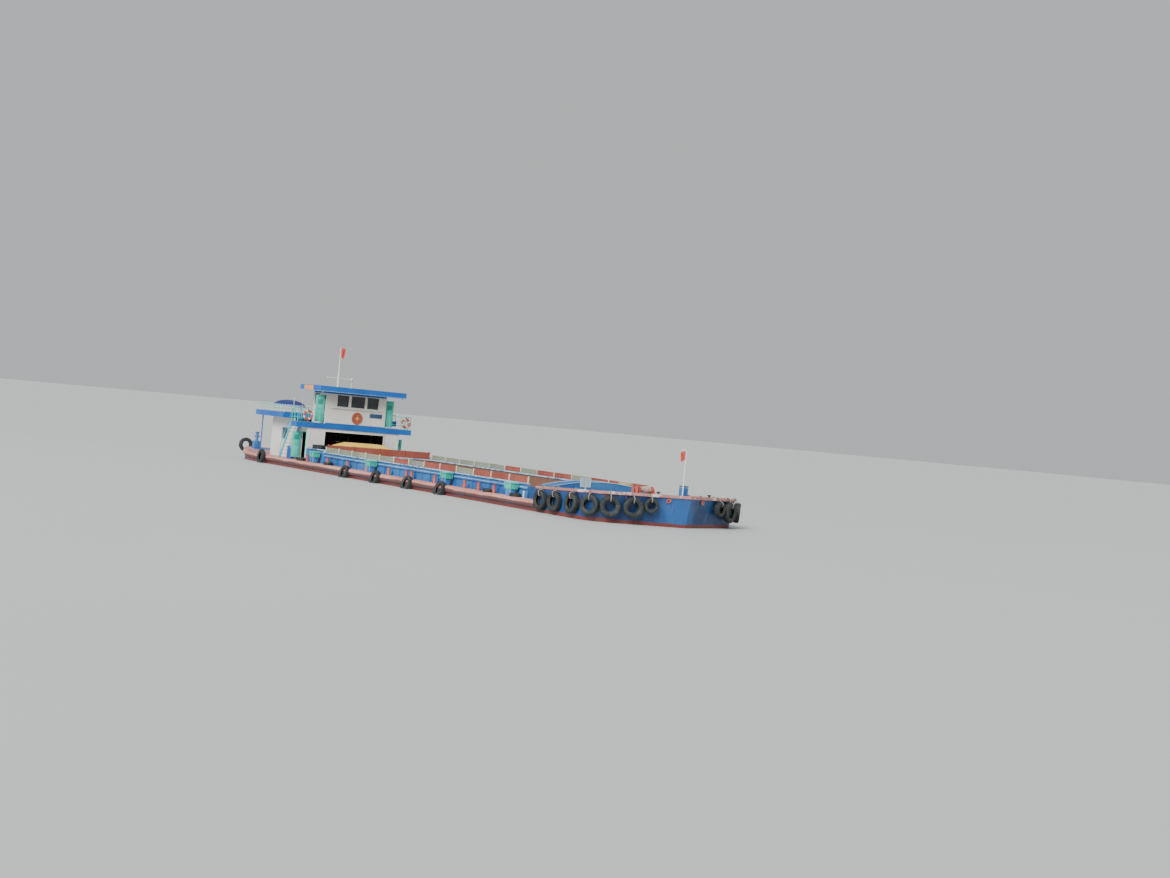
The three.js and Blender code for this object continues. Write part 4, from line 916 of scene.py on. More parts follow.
def makeSideDecks():
    bitt, vent = makeBitt(), makeVentilator()
    for side, sign in sideSigns.items():
        y = sign * sideDeck["middleY"]
        ready(f"walkway_{side}", [sideBlock(sign, *sideDeck["plate"], "pink", 4)])
        bitts = [shifted(bitt, (x, y, 0)) for x in sideDeck["bittX"]]
        ready(f"bitts_{side}", bitts, standsFor=[f"side_deck_fittings_{side}"], smooth=40)
        vents = [shifted(vent, (x, y, 0)) for x in sideDeck["ventX"]]
        ready(f"ventilators_{side}", vents, smooth=40)
        spares = [hungTyre((x, y + sign * 40, sideDeck["tyreZ"]), (0.02, 0.03 * sign, 1), *sideDeck["tyreSize"], x)
                  for x in sideDeck["tyreX"]]
        if sign < 0:
            spares.append(hungTyre(sideDeck["trunkTyre"], (0, 0, 1), *sideDeck["trunkTyreSize"], 0.7))
        ready(f"spare_tyres_{side}", spares, smooth=40)
    discard(bitt, vent)


makeSideDecks()
print("side decks fitted")


# Washboards: two boards in each bay between posts, red forward and grey-green aft
washboards = {"first": -9830, "last": 15030, "bays": 13, "middleY": 3990, "greyBays": (0, 1, 2, 3, 4, 6, 9),
              "postFoot": 3791, "postTop": 4150, "boardFoot": 3806, "boardHeight": 148, "boardPitch": 152}


def makeWashboards():
    foot = washboards["postFoot"]
    pitch = (washboards["last"] - washboards["first"]) / washboards["bays"]
    for side, sign in sideSigns.items():
        y = sign * washboards["middleY"]
        boards, posts = {"boardRed": [], "boardGrey": []}, []
        for i in range(washboards["bays"] + 1):
            x = washboards["first"] + i * pitch
            posts.append(block((x - 35, y - 35, foot), (x + 35, y + 35, washboards["postTop"]), "postPale", 8))
            posts.append(block((x - 48, y - 44, foot), (x + 48, y + 44, washboards["boardFoot"]), "postPale", 4))
            if i == washboards["bays"]:
                break
            paint = "boardGrey" if i in washboards["greyBays"] else "boardRed"
            tilt = random.uniform(-6, 2)
            for k in range(2):
                z = washboards["boardFoot"] + k * washboards["boardPitch"]
                top = z + washboards["boardHeight"] + (tilt if k else 0)
                middle = y + 2 * k
                boards[paint].append(block((x + 40, middle - 12, z), (x + pitch - 40, middle + 12, top), paint, 6))
        ready(f"washboard_posts_{side}", posts, standsFor=[f"washboards_{side}"])
        ready(f"washboards_red_{side}", boards["boardRed"])
        ready(f"washboards_grey_{side}", boards["boardGrey"])


makeWashboards()


# Coaming: a round hand rail on brackets, and knees under the flange
coamingRail = {"aft": -9880, "forward": 15080, "wall": 4012, "y": 4060, "z": 3560, "radius": 26, "pitch": 1923,
               "firstBracket": -8938.5, "firstKnee": -7977, "knee": (3014, 3478)}


def makeCoamingRails():
    y, z, wall, pitch = (coamingRail[key] for key in ("y", "z", "wall", "pitch"))
    for side, sign in sideSigns.items():
        parts = [tube([(coamingRail["aft"], sign * y, z), (coamingRail["forward"], sign * y, z)],
                      coamingRail["radius"], "lightBlue")]
        for k in range(13):
            x = coamingRail["firstBracket"] + pitch * k
            parts.append(sideBlock(sign, (x - 8, wall, z - 20), (x + 8, y, z + 20), "lightBlue", 2))
        for k in range(12):
            x = coamingRail["firstKnee"] + pitch * k
            low, high = coamingRail["knee"]
            parts.append(sideBlock(sign, (x - 10, wall, low), (x + 10, y + 10, high), "coaming", 3))
        ready(f"coaming_rail_{side}", parts)


makeCoamingRails()
print("hold fitted")


# Breakwater: a smooth vaulted sheet with stiffening hoops
vault = {"half": 3200, "edge": 3740, "crown": 380, "aft": 15130, "forward": 16270, "thickness": 10,
         "battensY": (-1100, -2200, 2750)}


def archZ(y):
    return vault["edge"] + vault["crown"] * (1 - (y / vault["half"]) ** 2)


def makeBreakwater():
    clearSelection()
    bpy.ops.mesh.primitive_grid_add(x_subdivisions=6, y_subdivisions=48, size=1)
    sheet = bpy.context.object
    sheet.scale = ((vault["forward"] - vault["aft"]) * mm, 2 * (vault["half"] + 10) * mm, 1)
    sheet.location.x = (vault["forward"] + vault["aft"]) / 2 * mm
    settle(sheet)
    for vertex in sheet.data.vertices:
        vertex.co.z = (archZ(vertex.co.y / mm) + 6) * mm
    shell = sheet.modifiers.new("thickness", "SOLIDIFY")
    shell.thickness = vault["thickness"] * mm
    shell.offset = 1
    pick(sheet)
    bpy.ops.object.modifier_apply(modifier=shell.name)
    dress(sheet, "coaming")
    hoops = []
    for x in (vault["aft"] + 25, vault["forward"] - 25):
        across = [160 * k - vault["half"] for k in range(41)]
        hoops.append(tube([(x, y, archZ(y) + 26) for y in across], 24, "lightBlue", sides=8))
    for y in vault["battensY"]:
        ends = [(x, y, archZ(y) + 24) for x in (vault["aft"] + 30, vault["forward"] - 30)]
        hoops.append(tube(ends, 18, "coaming", sides=8))
    ready("breakwater_sheet", [sheet])
    ready("breakwater_hoops", hoops)


makeBreakwater()


# Foredeck gear: the board's frame, mushroom vents, hawse rings at the bow, posts at the step
foredeck = {"boardFrame": [((17195, -2124, 4344), (17235, -1476, 4364)),
                           ((17195, -2124, 3886), (17235, -1476, 3906)),
                           ((17195, -2126, 3890), (17235, -2106, 4360)),
                           ((17195, -1494, 3890), (17235, -1474, 4360))],
            "vents": [(22400, -900), (22700, 2160)], "hawse": 1150, "hawseDrop": 230, "hawseStretch": 1.35,
            "stepPost": (16890, 4330, 3014), "holdPost": (15330, 4400, 3014)}


def makeForedeck():
    ready("board_frame", [block(low, high, "mastWhite", 4) for low, high in foredeck["boardFrame"]])
    vents = [turned([(0, 0), (74, 0), (74, 10), (48, 16), (48, 120), (110, 128), (118, 140), (100, 176), (56, 200),
                     (0, 206)], (x, y, foredeckZ(x) + 2), "black", steps=20) for x, y in foredeck["vents"]]
    ready("mushroom_vents", vents)
    hawses, posts = [], []
    for sign in (-1, 1):
        at, out = fromStem(bowEdge(), foredeck["hawse"], sign)
        place = at + out * 10 - Vector((0, 0, foredeck["hawseDrop"]))
        ring = turned([(44, -6), (96, -6), (104, 10), (90, 30), (62, 34), (44, 14), (44, -6)], (0, 0, 0), "red",
                      steps=24)
        plug = turned([(0, 2), (46, 2), (46, 10), (0, 12)], (0, 0, 0), "black", steps=20)
        for part in (ring, plug):
            part.data.transform(turning(tuple(out), tuple(place))
                                @ Matrix.Diagonal((1, foredeck["hawseStretch"], 1, 1)))
            hawses.append(part)
    ready("hawse_rings", hawses)
    for sign in (-1, 1):
        x, y, z = foredeck["stepPost"]
        posts.append(turned([(0, 0), (110, 0), (110, 12), (78, 20), (78, 660), (92, 672), (92, 700), (0, 706)],
                            (x, sign * y, z), "red", steps=20))
        for height in (116, 306, 496):
            posts.append(turned([(78, 0), (83, 3), (83, 87), (78, 90), (78, 0)], (x, sign * y, z + height),
                                "mastWhite", steps=20))
        x, y, z = foredeck["holdPost"]
        posts.append(turned([(0, 0), (70, 0), (70, 10), (40, 16), (40, 300), (66, 316), (66, 352), (30, 370),
                             (0, 372)], (x, sign * y, z), "mastWhite", steps=18))
    ready("step_posts", posts)


makeForedeck()


# Windlass: two layers of rope and a spur ring on the drum, brake levers on the frame
windlass = {"place": (21000, -700, 4140), "half": 420, "leverX": 21500, "teeth": 18,
            "ropes": [(9, -330, 660, 126, 18), (5, -120, 250, 150, 17)]}  # turns, start, run, reach, thickness


def makeWindlass():
    x, y, z = windlass["place"]
    half, perTurn = windlass["half"], 20
    wraps = []
    for rounds, start, run, reach, thick in windlass["ropes"]:
        points = []
        for k in range(rounds * perTurn + 1):
            angle = 2 * math.pi * k / perTurn
            along = start + run * k / (rounds * perTurn)
            points.append((x + reach * math.cos(angle), y + along, z + reach * math.sin(angle)))
        wraps.append(tube(points, thick, "lashing", sides=8))
    ready("windlass_rope", wraps, body="windlass_drum", smooth=60)
    rim = [(120, half + 2), (172, half + 2), (172, half + 24), (120, half + 24), (120, half + 2)]
    gear = [turned(rim, (x, y, z), "red", axis=(0, 1, 0), steps=36)]
    for k in range(windlass["teeth"]):
        tooth = block((-9, half + 4, 166), (9, half + 22, 182), "red", 3)
        turn = Matrix.Rotation(2 * math.pi * k / windlass["teeth"], 4, "Y")
        tooth.data.transform(Matrix.Translation(metres((x, y, z))) @ turn)
        gear.append(tooth)
    ready("windlass_gear", gear, body="windlass_drum")
    levers = []
    for sign in (-1, 1):
        across, foot = y + sign * half, foredeckZ(windlass["leverX"]) + 32
        levers.append(tube([(x - 330, across, foot), (x - 350, across, foot + 160), (x - 420, across, foot + 400)],
                           13, "red", sides=8))
        levers.append(turned([(0, -16), (22, -10), (26, 0), (22, 10), (0, 16)], (x - 425, across, foot + 412),
                             "black", steps=14))
    ready("windlass_levers", levers)


makeWindlass()


# A small flag that hangs in folds from its staff
def limpFlag(name, mast, top, drop, width, material, side):
    clearSelection()
    bpy.ops.mesh.primitive_grid_add(x_subdivisions=20, y_subdivisions=24, size=1)
    cloth = bpy.context.object
    for vertex in cloth.data.vertices:
        across, down = vertex.co.x + 0.5, 0.5 - vertex.co.y
        reach = 34 + width * across * (0.8 - 0.22 * down)
        fold = 34 * math.sin(across * 9 + down * 2.2) * min(1, across * 4)
        sag = width * 0.5 * across ** 1.3 * (0.5 + 0.35 * down)
        vertex.co = Vector(metres((mast[0] + side * (0.45 * reach - 0.89 * fold),
                                   mast[1] + side * (0.89 * reach + 0.45 * fold), top - drop * down - sag)))
    dress(cloth, material)
    ready(name, [cloth], smooth=70)


# Bow lamp staff with a hooked arm
lampStaff = {"x": 23220, "top": 6350, "reach": 335, "collars": (900, 1500), "flag": (60, 430, 330)}


def makeLampStaff():
    x, top = lampStaff["x"], lampStaff["top"]
    base, lampX = foredeckZ(x + 100) + 1, x - lampStaff["reach"]
    parts = [turned([(0, 0), (92, 0), (92, 16), (46, 30), (38, 60), (32, 70), (30, 1400), (25, 1410),
                     (24, top - base - 6), (0, top - base)], (x, 0, base), "mastWhite", steps=14),
             tube([(x, 0, top - 30), (x - 60, 0, top + 10), (x - 180, 0, top + 46), (x - 290, 0, top + 50),
                   (lampX, 0, top + 20)], 17, "mastWhite", sides=10),
             turned([(0, 40), (22, 40), (30, 20), (64, -20), (68, -34), (58, -38), (0, -38)], (lampX, 0, top),
                    "mastWhite", steps=18)]
    for height in lampStaff["collars"]:
        parts.append(turned([(28, -10), (46, -10), (46, 10), (28, 10), (28, -10)], (x, 0, base + height),
                            "mastWhite", steps=14))
    bulb = turned([(0, -36), (40, -40), (46, -58), (30, -80), (0, -86)], (lampX, 0, top), "glass", steps=16)
    ready("bow_staff", parts, standsFor=["bow_lamp_staff"])
    ready("bow_lamp_glass", [bulb])
    below, fall, width = lampStaff["flag"]
    limpFlag("bow_flag", (x, 0), top - below, fall, width, "flagCloth", -1)


def makeLocker():
    trims = [block((22694, 154, 4440), (23036, 496, 4466), "lightBlue", 6),
             block((22860, 484, 4200), (22880, 500, 4400), "lightBlue", 3)]
    ready("locker_trim", trims)
    grip = tube([(22860, 260, 4538), (22860, 260, 4562), (22870, 280, 4572), (22870, 370, 4572), (22860, 390, 4562),
                 (22860, 390, 4538)], 8, "mastWhite", sides=8)
    ready("locker_lid_handle", [grip], body="foredeck_locker_lid")


makeLampStaff()
makeLocker()
print("foredeck fitted")


# Four bars round an opening in a wall that stands across the barge
def windowFrame(x, y0, y1, z0, z1, material, wide=50, deep=26, bevel=6, head=None):
    head = wide if head is None else head
    return [block((x, y0 - wide, z1), (x + deep, y1 + wide, z1 + head), material, bevel),
            block((x, y0 - wide, z0 - wide), (x + deep, y1 + wide, z0), material, bevel),
            block((x, y0 - wide, z0), (x + deep, y0, z1), material, bevel),
            block((x, y1, z0), (x + deep, y1 + wide, z1), material, bevel)]


# Wheelhouse front: window frames, gaskets, corner posts
wheelhouse = {"frontX": -13999, "windows": [(-1500, -620), (-440, 620), (800, 1680)], "half": 2268,
              "sill": 6850, "head": 7640, "foot": 5612, "top": 7685}


def makeWheelhouseFront():
    x, sill, head, half = (wheelhouse[key] for key in ("frontX", "sill", "head", "half"))
    frames, gaskets = [], []
    for y0, y1 in wheelhouse["windows"]:
        frames += windowFrame(x, y0, y1, sill, head, "white", 44, 30)
        frames.append(block((x - 59, y0, sill + 390), (x - 31, y1, sill + 410), "black", 3))
    ready("wheelhouse_window_frames", frames)
    for y0, y1 in wheelhouse["windows"]:
        gaskets += windowFrame(x - 61, y0 + 22, y1 - 22, sill + 22, head - 22, "black", 22, 20)
    ready("wheelhouse_gaskets", gaskets)
    corners = [tube([(x - 7, y, wheelhouse["foot"] + 8), (x - 7, y, wheelhouse["top"])], 20, "white", sides=10)
               for y in (-half, half)]
    foot = wheelhouse["foot"]
    corners.append(block((x, -half - 2, foot), (x + 21, half + 2, foot + 58), "fascia", 5))
    ready("wheelhouse_trim", corners)


# Emblem: a plain disc with a compass star, its long points up, down and across
emblem = {"x": -14000, "y": 120, "z": 6118, "radius": 425, "longPoint": 285, "shortPoint": 180, "waist": 62}


def makeEmblem():
    x, y, z, r = (emblem[key] for key in ("x", "y", "z", "radius"))
    disc = turned([(0, 0), (r, 0), (r + 5, 8), (r, 22), (r - 26, 26), (r - 34, 18), (0, 18)], (x, y, z), "boardRed",
                  axis=(1, 0, 0), steps=56)
    ring = turned([(r - 70, 16), (r - 62, 22), (r - 54, 16), (r - 70, 16)], (x, y, z), "orange", axis=(1, 0, 0),
                  steps=56)
    clearSelection()
    bpy.ops.mesh.primitive_circle_add(vertices=16, radius=1, fill_type="TRIFAN")
    star = bpy.context.object
    for vertex in star.data.vertices:
        out = vertex.co.length
        if out < 0.01:
            vertex.co = Vector((0, 0, 14 * mm))
            continue
        k = round(math.atan2(vertex.co.y, vertex.co.x) / (math.pi / 8)) % 16
        reach = emblem["waist"] if k % 2 else emblem["shortPoint"] if k % 4 else emblem["longPoint"]
        vertex.co = vertex.co / out * reach * mm
        vertex.co.z = 0.0
    star.data.transform(turning((1, 0, 0), (x + 19, y, z)))
    dress(star, "orange")
    ready("emblem_disc", [disc])
    ready("emblem_star", [ring, star])


# Blank plates: a navy one with screw heads under the windows, an orange one on the roof's side
plates = {"front": ((-13999, 1060, 6240), (-13984, 2030, 6540)), "screwInset": 26,
          "roofSide": ((-15620, -3309, 7830), (-14180, -3291, 8150))}


def makePlates():
    low, high = plates["front"]
    inset = plates["screwInset"]
    screws = [turned([(0, 6), (9, 4), (10, 0)], (high[0], y, z), "mastWhite", axis=(1, 0, 0), steps=10)
              for y in (low[1] + inset, high[1] - inset) for z in (low[2] + inset, high[2] - inset)]
    ready("front_blank_plate", [block(low, high, "navy", 6), *screws])
    ready("roof_side_blank_plate", [block(*plates["roofSide"], "orange", 6)])


makeWheelhouseFront()
makeEmblem()
makePlates()


# Wheelhouse roof: a pale strip under the fascia, corner lamps, seams
roof = {"strip": ((-16300, 3290, 7806), (-13020, 3298, 7828)), "frontX": (-13022, -13012), "lamp": (-13160, 3050),
        "seamX": (-15400, -14300), "seamHalf": 3230, "topZ": 8183}


def makeRoofTrim():
    (_, half, z0), (_, _, z1) = roof["strip"]
    x, y = roof["lamp"]
    strips = [sideBlock(sign, *roof["strip"], "lightBlue", 3) for sign in (-1, 1)]
    strips.append(block((roof["frontX"][0], -half, z0), (roof["frontX"][1], half, z1), "lightBlue", 3))
    lamps = [turned([(0, 0), (46, 0), (58, -20), (62, -60), (40, -84), (0, -90)], (x, sign * y, z0), "mastWhite",
                    steps=18) for sign in (-1, 1)]
    ready("roof_edge_strips", strips)
    ready("roof_corner_lamps", lamps)
    seams = [tube([(x, -roof["seamHalf"], roof["topZ"]), (x, roof["seamHalf"], roof["topZ"])], 9, "fascia", sides=8)
             for x in roof["seamX"]]
    ready("roof_seams", seams)


makeRoofTrim()


# Trims of the side walls, as (x0, x1, z0, z1): window head, sill and jambs, then door jambs and head
sill, head = wheelhouse["sill"], wheelhouse["head"]
houseTrim = {"side": [(-18240, -17260, 5000, 5044), (-18240, -17260, 4256, 4300), (-18240, -18200, 4300, 5000),
                      (-17300, -17260, 4300, 5000), (-14930, -14880, 3120, 4900), (-14180, -14130, 3120, 4900),
                      (-14930, -14130, 4900, 4950)],
             "upperSide": [(-15940, -15110, head, head + 36), (-15940, -15110, sill - 40, sill),
                           (-15940, -15900, sill, head), (-15150, -15110, sill, head),
                           (-14945, -14900, 5680, 7560), (-14200, -14160, 5680, 7560)],
             "panes": [((-18196, 3462, 4304), (-17304, 3472, 4996)),
                       ((-15896, 2236, sill + 4), (-15154, 2246, head - 4)),
                       ((-16132, 504, sill + 4), (-16122, 1696, head - 4)),
                       ((-19972, 1504, 4254), (-19962, 2496, 4996))],
             "aftDoor": [((-20022, -450, 3150), (-20001, -400, 5000)), ((-20022, 400, 3150), (-20001, 450, 5000)),
                         ((-20022, -450, 5000), (-20001, 450, 5050))],
             "recess": [((-13999, -2262, 3010), (-13976, -2202, 5100)), ((-13999, 2302, 3010), (-13976, 2362, 5100)),
                        ((-13999, -2262, 5052), (-13976, 2362, 5112))]}


def makeHouseTrim():
    sides, panes, aft = [], [], []
    for sign in (-1, 1):
        for i, (x0, x1, z0, z1) in enumerate(houseTrim["side"]):
            sides.append(sideBlock(sign, (x0, 3501, z0), (x1, 3524, z1), "turquoise" if i else "fascia", 5))
    for sign in (-1, 1):
        for x0, x1, z0, z1 in houseTrim["upperSide"]:
            sides.append(sideBlock(sign, (x0, 2276, z0), (x1, 2296, z1), "white", 5))
    ready("house_side_trims", sides)
    for sign in (-1, 1):
        panes += [sideBlock(sign, low, high, "glass", 2) for low, high in houseTrim["panes"]]
    ready("house_panes", panes)
    for sign in (-1, 1):
        aft += windowFrame(-20024, *sorted((sign * 1500, sign * 2500)), 4250, 5000, "turquoise", 40, 23, 5)
        aft += windowFrame(-16172, *sorted((sign * 500, sign * 1700)), sill, head, "white", 40, 21, 5, head=36)
    aft += [block(low, high, "turquoise", 5) for low, high in houseTrim["aftDoor"]]
    ready("house_aft_trims", aft)
    ready("recess_trim", [block(low, high, "white", 6) for low, high in houseTrim["recess"]])


makeHouseTrim()


# Doors: pressed panels, pane, lever and hinges; each rides with its leaf
doors = {"house": (-14865, 3550, 3135, 4885), "wheelhouse": (-14215, 2325, 5695, 7545),  # hinge x, y, foot, head
         "width": 670, "half": 19, "panels": ((120, 760), (880, 1100)), "pane": (1190, 1560), "lever": 930}


def makeDoor(sign, hingeX, hingeY, z0, z1):
    half = doors["half"]
    y0, y1 = sorted((sign * (hingeY + 20), sign * (hingeY + doors["width"])))
    parts = [block((hingeX - half, y0, z0), (hingeX + half, y1, z1), "turquoise", 8)]
    for face in (-1, 1):
        a, b = sorted((hingeX + face * half, hingeX + face * (half + 6)))
        for low, high in doors["panels"]:
            parts.append(block((a, y0 + 90, z0 + low), (b, y1 - 90, z0 + high), "turquoise", 5))
        low, high = doors["pane"]
        parts.append(block((a, y0 + 110, z0 + low), (b, y1 - 110, z0 + high), "paneGreen", 3))
        edges = windowFrame(0, y0 + 130, y1 - 130, z0 + low + 20, z0 + high - 20, "turquoise", 36, 10)
        for edge in edges:
            edge.data.transform(Matrix.Translation(metres((a if face > 0 else b - 10, 0, 0))))
        parts += edges
    free, z = y1 - 80 if sign > 0 else y0 + 80, z0 + doors["lever"]
    parts.append(tube([(hingeX + 18, free, z), (hingeX + 62, free, z), (hingeX + 66, free - sign * 110, z)], 11,
                      "mastWhite", sides=8))
    for share in (0.2, 0.8):
        z = z0 - 15 + (z1 - z0 + 30) * share
        parts.append(turned([(0, -62), (20, -62), (22, -56), (22, 56), (20, 62), (0, 62)],
                            (hingeX, sign * hingeY, z), "black", steps=14))
        parts.append(sideBlock(sign, (hingeX - 24, hingeY, z - 34), (hingeX + 24, hingeY + 130, z + 34),
                               "turquoise", 5))
    return parts


for side, sign in sideSigns.items():
    for where in ("house", "wheelhouse"):
        body = f"door_{where}_{side}"
        ready(f"{where}_door_{side}", makeDoor(sign, *doors[where]), body=body, standsFor=[body])
print("house and doors")


# Life rings: white with four raised red bands and a grab line
ringShape = {"middle": 288, "thick": 72, "bandFrom": 0.65, "bandHeight": 6, "line": 372, "dip": 10}


def lifeRing(x, y, z):
    clearSelection()
    bpy.ops.mesh.primitive_torus_add(major_radius=ringShape["middle"] * mm, minor_radius=ringShape["thick"] * mm,
                                     major_segments=48, minor_segments=14, location=metres((x, y, z)),
                                     rotation=(0, math.pi / 2, 0))

    def onBand(face):
        turn = math.atan2(face.center.z - z * mm, face.center.y - y * mm)
        return math.sin(4 * turn) > ringShape["bandFrom"]

    ring = raiseFaces(settle(bpy.context.object), onBand, ringShape["bandHeight"])
    paint = Paint(f"life_ring_{'a' if y < 0 else 'b'}", roughness=0.5)
    centredZ = paint.sum("SUBTRACT", paint.parts.outputs["Z"], z * mm)
    centredY = paint.sum("SUBTRACT", paint.parts.outputs["Y"], y * mm)
    wave = paint.sum("SINE", paint.sum("MULTIPLY", paint.sum("ARCTAN2", centredZ, centredY), 4.0))
    red = paint.mix(paint.noise(9, detail=6), tone(206, 84, 70), tone(176, 62, 54))
    white = paint.mix(paint.noise(9, detail=6), tone(232, 228, 220), tone(200, 190, 180))
    dress(ring, paint.finish(paint.mix(paint.span(wave, 0.62, 0.68), red, white), (0.45, 0.7)))
    cord = []
    for k in range(32):
        turn = 2 * math.pi * k / 32
        out = ringShape["line"] - ringShape["dip"] * abs(math.sin(2 * turn))
        cord.append((x + 4, y + out * math.cos(turn), z + out * math.sin(turn)))
    return [ring, tube(cord, 9, "lashing", closed=True, sides=6)]


# Railings of round pipe, and the life rings hooked on the forward ones
upperRail = {"deck": 5611, "frontX": -14010, "aftX": -14900, "inner": 2700, "outer": 4350,
             "pipes": ((900, 24), (600, 16), (300, 16)), "rings": {"starboard": -3620, "port": 3900}}
aftRail = {"deck": 6131, "half": 4350, "aftX": -20940, "frontX": -16370, "pipes": ((420, 24), (215, 14)),
           "aftPostsY": (-3250, -2150, -1050, 0, 1050, 2150, 3250)}


def makeUpperRailings():
    z, x, aft = upperRail["deck"], upperRail["frontX"], upperRail["aftX"]
    for side, sign in sideSigns.items():
        inner, outer = sign * upperRail["inner"], sign * upperRail["outer"]
        parts = [tube([(x, inner, z + height), (x, sign * 4300, z + height), (x - 15, sign * 4338, z + height),
                       (x - 50, outer, z + height), (aft, outer, z + height)], thick, "turquoise", sides=10)
                 for height, thick in upperRail["pipes"]]
        for spot in ((x, inner), (x, sign * 3550), (x, sign * 4330), (-14450, outer), (aft, outer)):
            parts.append(turned([(0, 0), (44, 0), (44, 10), (24, 16), (22, 900), (26, 908), (26, 924), (0, 930)],
                                (*spot, z), "turquoise", steps=14))
        for k in range(1, 6):
            y = sign * (3550 + k * 130)
            parts.append(tube([(x, y, z + 20), (x, y, z + 890)], 8, "turquoise", sides=6))
        ready(f"upper_rail_{side}", parts, standsFor=[f"upper_railing_{side}"])
        y = upperRail["rings"][side]
        ring = lifeRing(x + 62, y, z + 480)
        hook = tube([(x, y, z + 888), (x + 40, y, z + 880), (x + 120, y, z + 830), (x + 134, y, z + 790)], 8,
                    "black", sides=6)
        ready(f"life_ring_{side}", [*ring, hook])


def makeAftRailing():
    z, edge, aft, forward = (aftRail[key] for key in ("deck", "half", "aftX", "frontX"))
    around = [(forward, -edge), (aft + 60, -edge), (aft + 12, -edge + 14), (aft, -edge + 60), (aft, edge - 60),
              (aft + 12, edge - 14), (aft + 60, edge), (forward, edge)]
    parts = [tube([(x, y, z + height) for x, y in around], thick, "turquoise", sides=10)
             for height, thick in aftRail["pipes"]]
    spots = [(forward + (aft - forward) * i / 8, s * (edge - 4)) for i in range(9) for s in (-1, 1)]
    spots += [(aft + 4, y) for y in aftRail["aftPostsY"]]
    for x, y in spots:
        parts.append(turned([(0, 0), (40, 0), (40, 9), (22, 14), (20, 400), (0, 404)], (x, y, z), "mastWhite",
                            steps=12))
    ready("aft_roof_rail", parts, standsFor=["aft_roof_railing"])


makeUpperRailings()
makeAftRailing()
print("railings")


# Mast with cross-arm, lamps, steps and a flag; globe lamp on its post
mast = {"x": -16000, "y": -620, "base": 8181, "cross": 8800, "top": 11000, "armLamp": 800,
        "steps": (9450, 9900, 10350), "flag": (30, 640, 400)}
globeLamp = {"x": -16000, "y": 430, "base": 8181, "z": 8780}


def makeMast():
    x, y, base, cross, top = (mast[key] for key in ("x", "y", "base", "cross", "top"))
    parts = [turned([(0, 0), (120, 0), (120, 22), (74, 34), (64, 70), (60, 76), (56, 1100), (42, 1130), (38, 1160),
                     (28, top - base - 8), (0, top - base)], (x, y, base), "mastWhite", steps=18)]
    for sign in (-1, 1):
        parts.append(turned([(0, 0), (44, 0), (40, 200), (26, 780), (0, 784)], (x, y, cross), "mastWhite",
                            axis=(0, sign, 0.0), steps=12))
        gusset = block((-9, 0, -130), (9, 230, -20), "mastWhite", 3)
        for vertex in gusset.data.vertices:
            if vertex.co.y > 150 * mm:
                vertex.co.z = max(vertex.co.z, -40 * mm)
        turn = Matrix.Rotation(0 if sign > 0 else math.pi, 4, "Z")
        gusset.data.transform(Matrix.Translation(metres((x, y, cross))) @ turn)
        parts.append(gusset)
        parts.append(turned([(0, -58), (30, -58), (40, -50), (44, 40), (56, 60), (50, 84), (0, 90)],
                            (x, y + sign * mast["armLamp"], cross), "mastWhite", steps=14))
    for z in mast["steps"]:
        parts.append(tube([(x, y - 90, z), (x, y + 90, z)], 9, "mastWhite", sides=8))
    ready("mast_pole", parts, standsFor=["mast"])
    below, fall, width = mast["flag"]
    limpFlag("mast_flag", (x, y), top - below, fall, width, "flagCloth", 1)


def makeGlobeLamp():
    x, y, base, z = (globeLamp[key] for key in ("x", "y", "base", "z"))
    post = turned([(0, 0), (82, 0), (82, 20), (34, 34), (26, 60), (24, 480), (40, 486), (44, 508), (0, 510)],
                  (x, y, base), "mastWhite", steps=16)
    globe = turned([(0, -119), (45, -110), (84, -84), (110, -46), (119, 0), (110, 46), (84, 84), (45, 110),
                    (0, 119)], (x, y, z), "mastWhite", steps=24)
    band = turned([(112, -8), (121, -6), (121, 6), (112, 8), (112, -8)], (x, y, z), "black", steps=24)
    ready("globe_lamp", [post, globe, band], standsFor=["roof_lamp_post"])


makeMast()
makeGlobeLamp()


# Pleated round canopy on the aft roof
canopy = {"x": -19300, "y": -2640, "radius": 1150, "rim": 6540, "pleats": 32, "roof": 6132, "hoop": 6505,
          "pleatDepth": 34, "slack": 26, "edgeBand": 0.965, "squareShare": 0.785,
          "profile": [(1, 0), (0.985, 50), (0.95, 110), (0.88, 190), (0.78, 268), (0.65, 336), (0.5, 390),
                      (0.34, 425), (0.18, 446), (0.06, 452)]}


